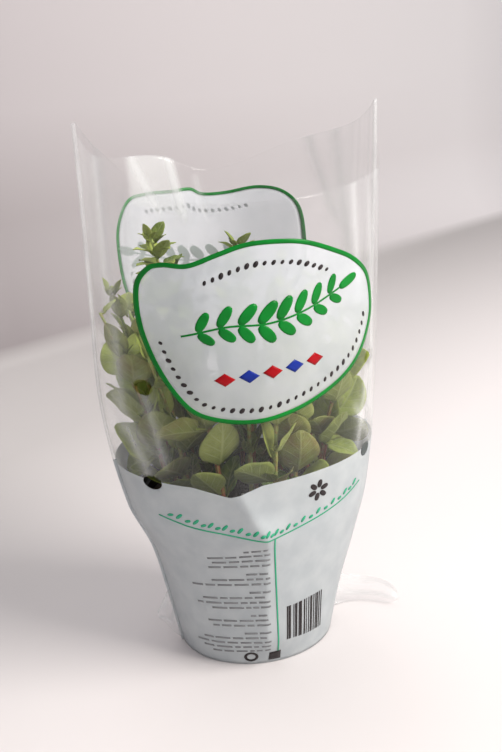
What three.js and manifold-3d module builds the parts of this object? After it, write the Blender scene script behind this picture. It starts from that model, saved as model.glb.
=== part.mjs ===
// Pot-grown oregano in its clear herb sleeve, in millimetres, +Z up.
// The origin is the centre of the pot's underside, on the surface that it stands on.
// The sleeve's front panel faces -Y and its two welded seams lie at -X and +X.

import * as THREE from 'three';
import { mergeVertices } from 'three/addons/utils/BufferGeometryUtils.js';
import Module from 'manifold-3d';

const wasm = await Module();
wasm.setup();

// ---------------------------------------------------------------- driving dimensions

const FIT_GAP = 0.35; // clearance between pieces that rest on each other

// The thin plastic pot.
const POT_HEIGHT = 98;
const POT_BASE_RADIUS = 42;
const POT_NECK_RADIUS = 57.7; // outer radius just under the rim's collar
const POT_RIM_RADIUS = 60;
const POT_RIM_HEIGHT = 6; // height of the stepped-out collar
const POT_WALL = 1;
const POT_FLOOR = 1.2;
const POT_SIDES = 32; // of the soil too, so that their flats face each other
const DRAIN_HOLES = 8;
const DRAIN_RADIUS = 4;
const DRAIN_RING_RADIUS = 31;
const DRAIN_SIDES = 6;

// The soil plug, with one plain hole for each stem.
const SOIL_TOP = 88;
const SOIL_RINGS = [46, 32, 16]; // radii of the rings that the crumbly top is made of
const SOIL_RELIEF = 1.6;
const SOIL_WAVES = { along: 0.31, shift: 0.9, across: 0.27, slanting: 0.17 }; // radians a mm
const NEAR = 1; // a point this near to a ring or a face counts as on it
const HOLE_DEPTH = 12;
const HOLE_SIDES = 5;
const HOLE_CLEARANCE = 2.2 * FIT_GAP; // round a stem, at the hole's corners

// The leafy stems.
const SEED = 16;
const STEM_COUNT = 24; // besides the lead shoots, which some of these make way for
const STEM_BED_RADIUS = 47; // the outermost stems stand on this circle
const STEM_CROWDING = 0.32; // below 0.5, the stems stand closer together near the rim
const STEM_RADIUS = 1.35;
const STEM_TIP_RADIUS = 0.7;
const STEM_SIDES = 4; // oregano has square stems
const STEM_STEPS = 4; // above the soil
const OUTER_STEM_HEIGHT = 106; // above the soil, near the sleeve
const INNER_STEM_HEIGHT = 112; // above the soil, in the middle of the pot
const STEM_HEIGHT_SPREAD = 15;
const STEM_TURN_SPREAD = 0.12; // radians off the spiral
const SEAM_LEAN = 31; // how far the outermost stems lean towards the seams
const PANEL_LEAN = 20; // the same towards the front and back panels
const LEAN_SPREAD = 5;
const LEAN_POWER = 1.5; // above 1, a stem starts upright and leans more as it rises
const LEAD_CLEARANCE = 7; // no other stem stands nearer to a lead shoot
// Two shoots stand out above the rest: the place on the soil, the lean and the height.
const LEAD_SHOOTS = [
  { x: -20, y: 2, leanX: -20, leanY: -2, height: 151, twist: 0.4 },
  { x: 5, y: -8, leanX: 0, leanY: 2, height: 143, twist: 0.9 },
];
const FIRST_PAIR_HEIGHT = 12; // of the lowest pair of leaves, above the soil
const PAIR_SPACING = 24; // between pairs low on a stem
const TIP_PAIR_SPACING = 12; // between pairs at its tip
const LAST_PAIR_GAP = 7.2; // at least this much between the tip and the pair below the top one
const TOP_PAIR_DEPTH = 1; // of the top pair, under the tip

// The leaves: a short stalk widens into a blunt oval blade, folded a little along its rib.
const LEAF_LENGTH = 32; // of the longest leaves
const LEAF_WIDTH_RATIO = 0.8;
const LEAF_THICKNESS = 0.7;
const BLADE_OUTLINE = { scale: 2.21, root: 0.45, tip: 0.75 }; // the scale makes the widest 1
// Rows of points across a blade, as shares of the leaf's length: fewer on the shorter leaves.
const BLADE_ROWS = [
  { shorterThan: 21.5, rows: [0.45] },
  { shorterThan: Infinity, rows: [0.32, 0.7] },
];
const LEAF_FOLD = THREE.MathUtils.degToRad(17);
const PETIOLE_SHARE = 0.1; // of the leaf's length, before the blade starts
const PETIOLE_RADIUS = 0.45;
const PETIOLE_STANDOFF = 1.7; // how far it holds the blade off the stem
const LEAF_ROOT_OFFSET = 0.25; // from the stem's axis to a leaf's root, inside the stem

// How a leaf grows. Angles are in radians, and a height is a share of the stem's.
const SIZE_AT_ENDS = 0.82; // of a leaf at the stem's foot or tip
const SIZE_GAIN = 0.18; // more than that half way up
const TIP_TAPER = 0.6; // how much smaller the topmost leaves are
const LENGTH_SPREAD = [0.84, 1.08];
const TURN_SPREAD = 0.12;
const LOW_RISE = 0.45; // the angle above level at the foot
const RISE_GAIN = 0.6; // more than that at the tip
const RISE_SPREAD = [-0.2, 0.3];
const STEEPEST_RISE = 1.45;
const TIP_BEND = 0.25; // how far a leaf arches over
const BEND_GAIN = 0.55; // more than that at the foot
const BEND_SPREAD = 0.2;
const LEAST_BEND = 0.05;
const ROLL_SPREAD = 0.45;
const FILM_PRESS = 0.2; // how much steeper a leaf stands that grows straight at the film
const FILM_FLATTEN = 0.3; // how much less such a leaf arches over

// Where a leaf doesn't fit, the next try is smaller, more turned, steeper and straighter.
const LEAF_TRIES = 24;
const TRY_SHRINK = 0.015;
const TRY_TURN = 0.5;
const TRY_STEEPEN = 0.07;
const TRY_STRAIGHTEN = 0.07;

// Leaves that the sleeve presses against the film: the stem's number, the height up it, the
// leaf's length, and its angles in degrees. Those in front are placed before the pairs, those
// in the pockets at the seams after them.
const FRONT_LEAVES = [
  { stem: 10, height: 33, length: 31, turn: -80, rise: 52, bend: -36, roll: 4 },
  { stem: 13, height: 20, length: 31, turn: -88, rise: 52, bend: -36, roll: -4 },
  { stem: 10, height: 54, length: 27, turn: 178, rise: 8, bend: 14, roll: 55 },
  { stem: 15, height: 22, length: 29, turn: -128, rise: 30, bend: 4, roll: 35 },
  { stem: 5, height: 22, length: 27, turn: -158, rise: 34, bend: 6, roll: 48 },
  { stem: 8, height: 30, length: 28, turn: -62, rise: 44, bend: -20, roll: 8 },
  { stem: 5, height: 40, length: 22, turn: -52, rise: 50, bend: -12, roll: 20 },
  { stem: 10, height: 16, length: 24, turn: -150, rise: 44, bend: -6, roll: 40 },
  { stem: 8, height: 54, length: 25, turn: -75, rise: 52, bend: -20, roll: 0 },
  { stem: 13, height: 48, length: 24, turn: -110, rise: 55, bend: -20, roll: 0 },
  { stem: 15, height: 44, length: 26, turn: -140, rise: 45, bend: -20, roll: 10 },
];
const SIDE_LEAVES = [
  { stem: 7, height: 50, length: 29, turn: 145, rise: 52, bend: 35, roll: 70 },
  { stem: 7, height: 31, length: 31, turn: -178, rise: 36, bend: -20, roll: -36 },
  { stem: 3, height: 38, length: 27, turn: -4, rise: 40, bend: -32, roll: 72 },
  { stem: 3, height: 29, length: 29, turn: -62, rise: 6, bend: -36, roll: -62 },
  { stem: 16, height: 66, length: 29, turn: -47, rise: 22, bend: -8, roll: 57 },
  { stem: 7, height: 80, length: 22, turn: 128, rise: 50, bend: 4, roll: -52 },
  { stem: 7, height: 30, length: 29, turn: 128, rise: -9, bend: 36, roll: -53 },
  { stem: 8, height: 30, length: 20, turn: -47, rise: 2, bend: 24, roll: 5 },
];

// A leaf fits where its tested points keep these distances.
const SAMPLE_ROWS = 9;
const SAMPLE_COLUMNS = 7;
const SAMPLE_START = 0.16; // as a share of the leaf's length
const LEAF_GAP = 2.2; // from the leaves of other stems
const OWN_LEAF_GAP = 1.4; // from the leaves of the same stem
const STEM_GAP = 2.6; // from other stems, tested at marks along them
const STEM_MARK_SPACING = 3;
const FILM_GAP = 1.6; // from the middle of the film
const SOIL_CLEARANCE = 4.5; // above the soil

// The sleeve: a tube of clear film, pressed into an oval by its two seams. Each station
// gives the height, the seams' x, the panels' depth at the front and back, and how
// pointed the oval is at the seams (0.5 is an ellipse, 1 a parabola).
const FILM_THICKNESS = 0.7;
const FILM_SIDES = 34;
const FILM_LOWER_ROWS = [0, 32, 64, 92, 104]; // heights of the rows round the pot
const FILM_UPPER_ROWS = 5; // from there to the top edge
const FILM_STATIONS = [
  { z: 0, left: -43.8, right: 45.5, front: 42.9, back: 42.9, point: 0.5 },
  { z: 30, left: -48.8, right: 52.5, front: 48.4, back: 48.4, point: 0.5 },
  { z: 64, left: -55.5, right: 63.5, front: 55.0, back: 55.2, point: 0.5 },
  { z: 92, left: -66.5, right: 71.5, front: 60.9, back: 61.1, point: 0.5 },
  { z: 150, left: -75.5, right: 79.5, front: 71.0, back: 74.0, point: 0.56 },
  { z: 210, left: -74.8, right: 83.5, front: 75.5, back: 80.0, point: 0.6 },
  { z: 262, left: -73.5, right: 87.0, front: 76.5, back: 83.0, point: 0.62 },
  { z: 302, left: -73.0, right: 89.0, front: 77.0, back: 84.0, point: 0.62 },
];
// The top edge: its height at angles round the sleeve, from the right seam by the back.
const FILM_EDGE = [
  { turn: 0, z: 301 },
  { turn: 18, z: 289 },
  { turn: 50, z: 279 },
  { turn: 84, z: 265 },
  { turn: 108, z: 276 },
  { turn: 145, z: 281 },
  { turn: 180, z: 301 },
  { turn: 205, z: 288 },
  { turn: 232, z: 266 },
  { turn: 270, z: 261 },
  { turn: 315, z: 266 },
  { turn: 350, z: 275 },
  { turn: 360, z: 301 },
];
// The sleeve's bottom corners, which stand out from the pot's foot as flat ears. Each station
// gives the share of the ear's reach, its lowest and highest point and its y there.
const EAR_COLUMNS = 6;
const EARS = [
  {
    seam: 'right',
    reach: 41.5,
    stations: [
      { share: 0, low: 1, high: 25, y: 0 },
      { share: 0.25, low: 0.8, high: 20, y: 2.5 },
      { share: 0.5, low: 0.8, high: 17, y: 1.5 },
      { share: 0.75, low: 0.8, high: 15.5, y: -4 },
      { share: 0.92, low: 1, high: 12, y: -9 },
      { share: 1, low: 3, high: 7.5, y: -10.5 },
    ],
  },
  {
    seam: 'left',
    reach: 11,
    stations: [
      { share: 0, low: 1, high: 36, y: 0 },
      { share: 0.35, low: 5, high: 31, y: -1 },
      { share: 0.7, low: 13, high: 26.5, y: -2.5 },
      { share: 1, low: 19.5, high: 22.5, y: -4 },
    ],
  },
];
// Vent holes punched through both panels, as x and z.
const VENT_RADIUS = 4;
const VENT_SIDES = 8;
const PUNCH_LENGTH = 240; // through both panels
const VENTS = [
  { x: -58.5, z: 171 },
  { x: 62, z: 171 },
  { x: -58, z: 117 },
  { x: 60, z: 117 },
];

// ---------------------------------------------------------------- materials

const COLOURS = {
  pot: { color: 0x2b2a29, roughness: 0.5, metalness: 0 },
  soil: { color: 0x33261d, roughness: 0.95, metalness: 0 },
  leaf: { color: 0x6f8a4a, roughness: 0.6, metalness: 0 },
  film: { color: 0xe6e8ea, roughness: 0.2, metalness: 0, transparent: true, opacity: 0.3 },
};

function material(name) {
  return new THREE.MeshStandardMaterial(COLOURS[name]);
}

// ---------------------------------------------------------------- solids and booleans

function toSolid(geometry) {
  const plain = geometry.clone();
  plain.deleteAttribute('normal');
  plain.deleteAttribute('uv');
  const merged = mergeVertices(plain, 1e-4);
  return new wasm.Manifold(new wasm.Mesh({
    numProp: 3,
    vertProperties: new Float32Array(merged.attributes.position.array),
    triVerts: new Uint32Array(merged.index.array),
  }));
}

function toMesh(solid, name, materialName) {
  const { vertProperties, triVerts } = solid.getMesh();
  const geometry = new THREE.BufferGeometry();
  geometry.setAttribute('position', new THREE.BufferAttribute(vertProperties, 3));
  geometry.setIndex(new THREE.BufferAttribute(triVerts, 1));
  geometry.computeVertexNormals();
  const mesh = new THREE.Mesh(geometry, material(materialName));
  mesh.name = name;
  return mesh;
}

function joined(solids) {
  return solids.reduce((whole, solid) => whole.add(solid));
}

// Moves every point of a geometry to where place(point) puts it.
function reshaped(geometry, place) {
  const positions = geometry.attributes.position;
  const point = new THREE.Vector3();
  for (let i = 0; i < positions.count; i += 1) {
    place(point.fromBufferAttribute(positions, i));
    positions.setXYZ(i, point.x, point.y, point.z);
  }
  return geometry;
}

// A round bar between two heights, turned so that its axis is +Z.
function uprightCylinder(topRadius, bottomRadius, bottomZ, topZ, sides, steps = 1) {
  const height = topZ - bottomZ;
  const bar = new THREE.CylinderGeometry(topRadius, bottomRadius, height, sides, steps);
  return bar.rotateX(Math.PI / 2).translate(0, 0, bottomZ + height / 2);
}

// A turned solid whose profile is given as [radius, z] pairs.
function turned(profile, sides) {
  const points = profile.map(([radius, z]) => new THREE.Vector2(radius, z));
  return new THREE.LatheGeometry(points, sides).rotateX(Math.PI / 2);
}

// ---------------------------------------------------------------- the seeded draw

// A linear congruential generator, so that every build draws the same numbers.
function makeDraw(seed) {
  let state = seed;
  return (low, high) => {
    state = (state * 1664525 + 1013904223) % 4294967296;
    return low + (high - low) * (state / 4294967296);
  };
}

// ---------------------------------------------------------------- the pot and its soil

function potInnerRadius(z) {
  const slope = (POT_NECK_RADIUS - POT_BASE_RADIUS) / (POT_HEIGHT - POT_RIM_HEIGHT);
  return POT_BASE_RADIUS + slope * z - POT_WALL;
}

function makePot() {
  const collarZ = POT_HEIGHT - POT_RIM_HEIGHT;
  const wall = turned([
    [0, 0],
    [POT_BASE_RADIUS, 0],
    [POT_NECK_RADIUS, collarZ],
    [POT_RIM_RADIUS, collarZ],
    [POT_RIM_RADIUS, POT_HEIGHT],
    [POT_RIM_RADIUS - POT_WALL, POT_HEIGHT],
    [POT_RIM_RADIUS - POT_WALL, collarZ + POT_WALL],
    [potInnerRadius(collarZ), collarZ + POT_WALL],
    [potInnerRadius(POT_FLOOR), POT_FLOOR],
    [0, POT_FLOOR],
  ], POT_SIDES);
  let pot = toSolid(wall);
  for (let i = 0; i < DRAIN_HOLES; i += 1) {
    const turn = (2 * Math.PI * i) / DRAIN_HOLES;
    const drill = uprightCylinder(DRAIN_RADIUS, DRAIN_RADIUS, -1, POT_FLOOR + 1, DRAIN_SIDES);
    drill.translate(DRAIN_RING_RADIUS * Math.cos(turn), DRAIN_RING_RADIUS * Math.sin(turn), 0);
    pot = pot.subtract(toSolid(drill));
  }
  return toMesh(pot, 'pot', 'pot');
}

// The soil's crumbs: a sum of waves that leaves the wall of the pot level.
function soilHeight(x, y) {
  const { along, shift, across, slanting } = SOIL_WAVES;
  const waves = Math.sin(along * x + shift) * Math.cos(across * y) + Math.sin(slanting * (x - y));
  return SOIL_TOP + 0.5 * SOIL_RELIEF * waves;
}

function makeSoil(stems) {
  const bottom = POT_FLOOR + FIT_GAP;
  const plug = turned([
    [0, bottom],
    [potInnerRadius(bottom) - FIT_GAP, bottom],
    [potInnerRadius(SOIL_TOP) - FIT_GAP, SOIL_TOP],
    ...SOIL_RINGS.map((radius) => [radius, SOIL_TOP]),
    [0, SOIL_TOP],
  ], POT_SIDES);
  reshaped(plug, (point) => {
    if (point.z > SOIL_TOP - NEAR && Math.hypot(point.x, point.y) < SOIL_RINGS[0] + NEAR) {
      point.z = soilHeight(point.x, point.y);
    }
  });
  const radius = STEM_RADIUS + HOLE_CLEARANCE;
  const top = SOIL_TOP + 3 * SOIL_RELIEF; // clear of the highest crumbs
  const holes = stems.map((stem) => toSolid(
    uprightCylinder(radius, radius, SOIL_TOP - HOLE_DEPTH, top, HOLE_SIDES)
      .translate(stem.x, stem.y, 0),
  ));
  return toMesh(holes.reduce((soil, hole) => soil.subtract(hole), toSolid(plug)), 'soil', 'soil');
}

// ---------------------------------------------------------------- the sleeve's shape

// Reads a value off a list of stations with a smooth curve through every one of them.
function alongStations(stations, position, at, key) {
  let i = 0;
  while (i < stations.length - 2 && stations[i + 1][position] <= at) {
    i += 1;
  }
  const slope = (a, b) => (stations[b][key] - stations[a][key])
    / (stations[b][position] - stations[a][position]);
  const last = stations.length - 1;
  const span = stations[i + 1][position] - stations[i][position];
  const t = Math.min(Math.max((at - stations[i][position]) / span, 0), 1);
  const startSlope = slope(Math.max(i - 1, 0), i + 1) * span;
  const endSlope = slope(i, Math.min(i + 2, last)) * span;
  return (2 * t ** 3 - 3 * t ** 2 + 1) * stations[i][key]
    + (t ** 3 - 2 * t ** 2 + t) * startSlope
    + (3 * t ** 2 - 2 * t ** 3) * stations[i + 1][key]
    + (t ** 3 - t ** 2) * endSlope;
}

// The oval at one height.
function filmOval(z) {
  const left = alongStations(FILM_STATIONS, 'z', z, 'left');
  const right = alongStations(FILM_STATIONS, 'z', z, 'right');
  return {
    middle: (left + right) / 2,
    half: (right - left) / 2,
    front: alongStations(FILM_STATIONS, 'z', z, 'front'),
    back: alongStations(FILM_STATIONS, 'z', z, 'back'),
    point: alongStations(FILM_STATIONS, 'z', z, 'point'),
  };
}

// Whether a point lies inside the sleeve, clear of the film by the gap given.
function insideFilm(point, gap) {
  const oval = filmOval(point.z);
  const across = (point.x - oval.middle) / (oval.half - gap);
  if (Math.abs(across) >= 1) {
    return false;
  }
  const depth = point.y < 0 ? oval.front : oval.back;
  return Math.abs(point.y) < (depth - gap) * (1 - across ** 2) ** oval.point;
}

// A point of the film at an angle and a height, moved outwards by the offset given.
function filmPoint(turn, z, offset, target) {
  const oval = filmOval(z);
  const depth = Math.sin(turn) < 0 ? oval.front : oval.back;
  const rise = Math.sign(Math.sin(turn)) * Math.abs(Math.sin(turn)) ** (2 * oval.point);
  return target.set(
    oval.middle + (oval.half + offset) * Math.cos(turn),
    (depth + offset) * rise,
    z,
  );
}

// The height of a row of the film's points where the top edge has the height given.
function filmRowHeight(row, top) {
  const lower = FILM_LOWER_ROWS.length - 1;
  if (row <= lower) {
    return FILM_LOWER_ROWS[row];
  }
  const share = (row - lower) / FILM_UPPER_ROWS;
  return FILM_LOWER_ROWS[lower] + (top - FILM_LOWER_ROWS[lower]) * share;
}

// A box whose width and height, both 1, become the ear's reach and its stations' heights.
function makeEar({ seam, reach, stations }) {
  const box = new THREE.BoxGeometry(1, FILM_THICKNESS, 1, EAR_COLUMNS, 1, 1).translate(0.5, 0, 0.5);
  if (seam === 'left') {
    box.rotateZ(Math.PI).translate(1, 0, 0);
  }
  return toSolid(reshaped(box, (point) => {
    const share = seam === 'left' ? 1 - point.x : point.x;
    const low = alongStations(stations, 'share', share, 'low');
    const high = alongStations(stations, 'share', share, 'high');
    const z = low + (high - low) * point.z;
    const outwards = seam === 'left' ? -reach : reach;
    point.set(
      alongStations(FILM_STATIONS, 'z', z, seam) + outwards * share,
      point.y + alongStations(stations, 'share', share, 'y'),
      z,
    );
  }));
}

// The tube is turned with plain radii and row numbers, which then give each point its side
// of the film and its row.
function makeSleeve() {
  const [insideRadius, outsideRadius] = [1, 2];
  const lastRow = FILM_LOWER_ROWS.length - 1 + FILM_UPPER_ROWS;
  const outside = Array.from({ length: lastRow + 1 }, (_, row) => [outsideRadius, row]);
  const inside = outside.map(([, row]) => [insideRadius, lastRow - row]);
  const tube = turned([...outside, ...inside, outside[0]], FILM_SIDES);
  reshaped(tube, (point) => {
    const turn = Math.atan2(point.y, point.x);
    const degrees = (THREE.MathUtils.radToDeg(turn) + 360) % 360;
    const top = alongStations(FILM_EDGE, 'turn', degrees, 'z');
    const side = Math.round(Math.hypot(point.x, point.y)) === outsideRadius ? 0.5 : -0.5;
    filmPoint(turn, filmRowHeight(Math.round(point.z), top), side * FILM_THICKNESS, point);
  });
  let sleeve = joined([toSolid(tube), ...EARS.map(makeEar)]);
  VENTS.forEach(({ x, z }) => {
    const punch = new THREE.CylinderGeometry(VENT_RADIUS, VENT_RADIUS, PUNCH_LENGTH, VENT_SIDES);
    sleeve = sleeve.subtract(toSolid(punch.translate(x, 0, z)));
  });
  return toMesh(sleeve, 'sleeve', 'film');
}

// ---------------------------------------------------------------- the stems' layout

// A point on a stem's axis; it stands upright in the soil and leans more as it rises.
function stemPoint(stem, height) {
  const lean = (Math.max(height, 0) / stem.height) ** LEAN_POWER;
  return new THREE.Vector3(
    stem.x + stem.leanX * lean,
    stem.y + stem.leanY * lean,
    SOIL_TOP + height,
  );
}

// The lead shoots, then stems on a sunflower spiral from the rim inwards, where they grow
// taller.
function layOutStems(draw) {
  const golden = Math.PI * (3 - Math.sqrt(5));
  const clearOfLeads = (x, y) => LEAD_SHOOTS.every(
    (lead) => Math.hypot(lead.x - x, lead.y - y) > LEAD_CLEARANCE,
  );
  const stems = [...LEAD_SHOOTS];
  for (let i = 0; i < STEM_COUNT; i += 1) {
    const reach = (1 - (i + 0.5) / STEM_COUNT) ** STEM_CROWDING;
    const turn = i * golden + draw(-STEM_TURN_SPREAD, STEM_TURN_SPREAD);
    const x = STEM_BED_RADIUS * reach * Math.cos(turn);
    const y = STEM_BED_RADIUS * reach * Math.sin(turn);
    const tall = INNER_STEM_HEIGHT + (OUTER_STEM_HEIGHT - INNER_STEM_HEIGHT) * reach;
    const stem = {
      x,
      y,
      leanX: SEAM_LEAN * reach * Math.cos(turn) + draw(-LEAN_SPREAD, LEAN_SPREAD),
      leanY: PANEL_LEAN * reach * Math.sin(turn) + draw(-LEAN_SPREAD, LEAN_SPREAD),
      height: tall + draw(-STEM_HEIGHT_SPREAD, STEM_HEIGHT_SPREAD),
      twist: turn,
    };
    if (clearOfLeads(x, y)) {
      stems.push(stem);
    }
  }
  return stems;
}

// ---------------------------------------------------------------- the leaves' layout

// Half the width of a leaf along its length: its petiole's and then its blade's.
function leafHalfWidth(leaf, along) {
  if (along <= PETIOLE_SHARE) {
    return PETIOLE_RADIUS;
  }
  const share = (along - PETIOLE_SHARE) / (1 - PETIOLE_SHARE);
  const { scale, root, tip } = BLADE_OUTLINE;
  return 0.5 * leaf.width * scale * share ** root * (1 - share) ** tip;
}

// A point of a leaf: along runs from its root to its tip, across from edge to edge.
function leafPoint(leaf, along, across, lift = 0) {
  const slope = leaf.rise - leaf.bend * along;
  const radius = leaf.length / leaf.bend; // of the arc that the rib follows
  const reach = radius * (Math.sin(leaf.rise) - Math.sin(slope))
    + LEAF_ROOT_OFFSET + PETIOLE_STANDOFF * Math.min(along / PETIOLE_SHARE, 1);
  const climb = radius * (Math.cos(slope) - Math.cos(leaf.rise));
  const side = leafHalfWidth(leaf, along) * across;
  const out = new THREE.Vector3(Math.cos(leaf.turn), Math.sin(leaf.turn), 0);
  const left = new THREE.Vector3(-out.y, out.x, 0);
  const normal = out.clone().multiplyScalar(-Math.sin(slope));
  normal.z = Math.cos(slope);
  const rolledLeft = left.clone().multiplyScalar(Math.cos(leaf.roll))
    .addScaledVector(normal, Math.sin(leaf.roll));
  const rolledNormal = normal.clone().multiplyScalar(Math.cos(leaf.roll))
    .addScaledVector(left, -Math.sin(leaf.roll));
  return leaf.root.clone()
    .addScaledVector(out, reach)
    .add(new THREE.Vector3(0, 0, climb))
    .addScaledVector(rolledLeft, side * Math.cos(LEAF_FOLD))
    .addScaledVector(rolledNormal, Math.abs(side) * Math.sin(LEAF_FOLD) + lift);
}

// The points that stand for a leaf where its clearance is tested.
function leafSamples(leaf) {
  const samples = [];
  const middle = (SAMPLE_COLUMNS - 1) / 2;
  for (let row = 0; row < SAMPLE_ROWS; row += 1) {
    const along = SAMPLE_START + ((1 - SAMPLE_START) * row) / (SAMPLE_ROWS - 1);
    for (let column = -middle; column <= middle; column += 1) {
      samples.push(leafPoint(leaf, along, column / middle));
    }
  }
  return samples;
}

function clearOf(samples, others, gap) {
  const box = new THREE.Box3().setFromPoints(samples).expandByScalar(gap);
  return others.filter((other) => box.containsPoint(other))
    .every((other) => samples.every((sample) => sample.distanceTo(other) > gap));
}

// Heights of the pairs of leaves on a stem, closer together towards its tip.
function pairHeights(stem) {
  const heights = [];
  let height = FIRST_PAIR_HEIGHT;
  while (height < stem.height - LAST_PAIR_GAP) {
    heights.push(height);
    const share = height / stem.height;
    height += PAIR_SPACING + (TIP_PAIR_SPACING - PAIR_SPACING) * share;
  }
  heights.push(stem.height - TOP_PAIR_DEPTH);
  return heights;
}

// One try at a leaf.
function draftLeaf(stem, height, turn, draw, attempt) {
  const share = height / stem.height;
  const size = (SIZE_AT_ENDS + SIZE_GAIN * Math.sin(Math.PI * share)) * (1 - TIP_TAPER * share ** 3);
  const length = LEAF_LENGTH * size * draw(...LENGTH_SPREAD) * (1 - TRY_SHRINK * attempt);
  const turned = turn + draw(-TURN_SPREAD, TURN_SPREAD) * (1 + TRY_TURN * attempt);
  const root = stemPoint(stem, height);
  const towardsFilm = Math.max(Math.cos(turned - Math.atan2(root.y, root.x)), 0)
    * Math.min(Math.hypot(root.x, root.y) / STEM_BED_RADIUS, 1);
  const rise = LOW_RISE + RISE_GAIN * share + FILM_PRESS * towardsFilm
    + draw(...RISE_SPREAD) + TRY_STEEPEN * attempt;
  const arch = (TIP_BEND + BEND_GAIN * (1 - share)) * (1 - FILM_FLATTEN * towardsFilm);
  const bend = (arch + draw(0, BEND_SPREAD)) * (1 - TRY_STRAIGHTEN * attempt);
  return {
    root,
    turn: turned,
    rise: Math.min(rise, STEEPEST_RISE),
    bend: Math.max(bend, LEAST_BEND),
    roll: draw(-ROLL_SPREAD, ROLL_SPREAD),
    length,
    width: length * LEAF_WIDTH_RATIO,
  };
}

// Keeps a leaf if it lies inside the sleeve, above the soil, and clear of the stems and of
// the leaves kept before it.
function makePlacer(stems, leaves) {
  const kept = stems.map(() => []);
  const stemMarks = stems.map((stem) => Array.from(
    { length: Math.floor(stem.height / STEM_MARK_SPACING) },
    (_, step) => stemPoint(stem, STEM_MARK_SPACING * step),
  ));
  const fits = (samples, owner) => samples.every((point) => insideFilm(point, FILM_GAP))
    && samples.every((point) => point.z > SOIL_TOP + SOIL_CLEARANCE)
    && stemMarks.every((marks, i) => i === owner || clearOf(samples, marks, STEM_GAP))
    && kept.every((marks, i) => clearOf(samples, marks, i === owner ? OWN_LEAF_GAP : LEAF_GAP));
  return (leaf, owner) => {
    const samples = leafSamples(leaf);
    if (!fits(samples, owner)) {
      return false;
    }
    leaves[owner].push(leaf);
    kept[owner].push(...samples);
    return true;
  };
}

// Places the front leaves, then the opposite pairs of every stem, and then the single
// leaves between them.
function layOutLeaves(stems, draw) {
  const leaves = stems.map(() => []);
  const place = makePlacer(stems, leaves);
  const placeListed = ({ stem, height, length, turn, rise, bend, roll }) => {
    const radians = THREE.MathUtils.degToRad;
    place({
      root: stemPoint(stems[stem - 1], height),
      turn: radians(turn),
      rise: radians(rise),
      bend: radians(bend),
      roll: radians(roll),
      length,
      width: length * LEAF_WIDTH_RATIO,
    }, stem - 1);
  };
  FRONT_LEAVES.forEach(placeListed);
  stems.forEach((stem, owner) => {
    pairHeights(stem).forEach((height, level) => {
      [0, Math.PI].forEach((side) => {
        const turn = (level % 2) * (Math.PI / 2) + side + stem.twist;
        let attempt = 0;
        while (attempt < LEAF_TRIES
          && !place(draftLeaf(stem, height, turn, draw, attempt), owner)) {
          attempt += 1;
        }
      });
    });
  });
  SIDE_LEAVES.forEach(placeListed);
  return leaves;
}

// ---------------------------------------------------------------- stem and leaf solids

// Triangles between two rows of points, each as far along its row as along the other.
function stripBetween(near, far) {
  const triangles = [];
  let i = 0;
  let j = 0;
  while (i < near.length - 1 || j < far.length - 1) {
    const nearNext = (i + 1) / Math.max(near.length - 1, 1);
    const farNext = (j + 1) / Math.max(far.length - 1, 1);
    if (j === far.length - 1 || (i < near.length - 1 && nearNext <= farNext)) {
      triangles.push([near[i], far[j], near[i + 1]]);
      i += 1;
    } else {
      triangles.push([near[i], far[j], far[j + 1]]);
      j += 1;
    }
  }
  return triangles;
}

// A flat petiole that widens into a thin folded blade. Both faces are split alike into rows
// of points: the root, two across the petiole, three across each row of the blade, the tip.
function leafSolid(leaf) {
  const { rows } = BLADE_ROWS.find(({ shorterThan }) => leaf.length < shorterThan);
  const shape = [
    { along: 0, across: [0] },
    { along: PETIOLE_SHARE, across: [-1, 1] },
    ...rows.map((along) => ({ along, across: [-1, 0, 1] })),
    { along: 1, across: [0] },
  ];
  const positions = [];
  const numbers = []; // of the points in each row
  shape.forEach(({ along, across }) => {
    numbers.push(across.map((side) => {
      [LEAF_THICKNESS / 2, -LEAF_THICKNESS / 2].forEach((lift) => {
        positions.push(...leafPoint(leaf, along, side, lift).toArray());
      });
      return positions.length / 6 - 1;
    }));
  });
  const index = [];
  const upper = (i) => 2 * i;
  const lower = (i) => 2 * i + 1;
  const addFaces = ([a, b, c]) => {
    index.push(upper(a), upper(b), upper(c), lower(c), lower(b), lower(a));
  };
  numbers.slice(1).forEach((far, row) => stripBetween(numbers[row], far).forEach(addFaces));
  const edge = [
    ...numbers.map((row) => row[0]),
    ...numbers.slice(1, -1).reverse().map((row) => row[row.length - 1]),
  ];
  edge.forEach((from, i) => {
    const to = edge[(i + 1) % edge.length];
    index.push(upper(from), lower(from), lower(to), upper(from), lower(to), upper(to));
  });
  const blade = new THREE.BufferGeometry();
  blade.setAttribute('position', new THREE.Float32BufferAttribute(positions, 3));
  blade.setIndex(index);
  return toSolid(blade);
}

// The stem's own bar: one straight length in the soil, then steps that follow its lean.
function stalkSolid(stem) {
  const rings = STEM_STEPS + 1;
  const stalk = uprightCylinder(STEM_TIP_RADIUS, STEM_RADIUS, 0, rings, STEM_SIDES, rings);
  stalk.rotateZ(Math.PI / STEM_SIDES + stem.twist);
  reshaped(stalk, (point) => {
    const { x, y } = point;
    const ring = Math.round(point.z);
    const height = ring === 0 ? FIT_GAP - HOLE_DEPTH : (stem.height * (ring - 1)) / STEM_STEPS;
    point.copy(stemPoint(stem, height));
    point.x += x;
    point.y += y;
  });
  return toSolid(stalk);
}

function makeStem(stem, leaves, number) {
  const solid = joined([stalkSolid(stem), ...leaves.map(leafSolid)]);
  return toMesh(solid, `stem_${String(number).padStart(2, '0')}`, 'leaf');
}

// ---------------------------------------------------------------- the whole object

const draw = makeDraw(SEED);
const stems = layOutStems(draw);
const leaves = layOutLeaves(stems, draw);

const plant = new THREE.Group();
plant.add(...stems.map((stem, i) => makeStem(stem, leaves[i], i + 1)));

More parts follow.
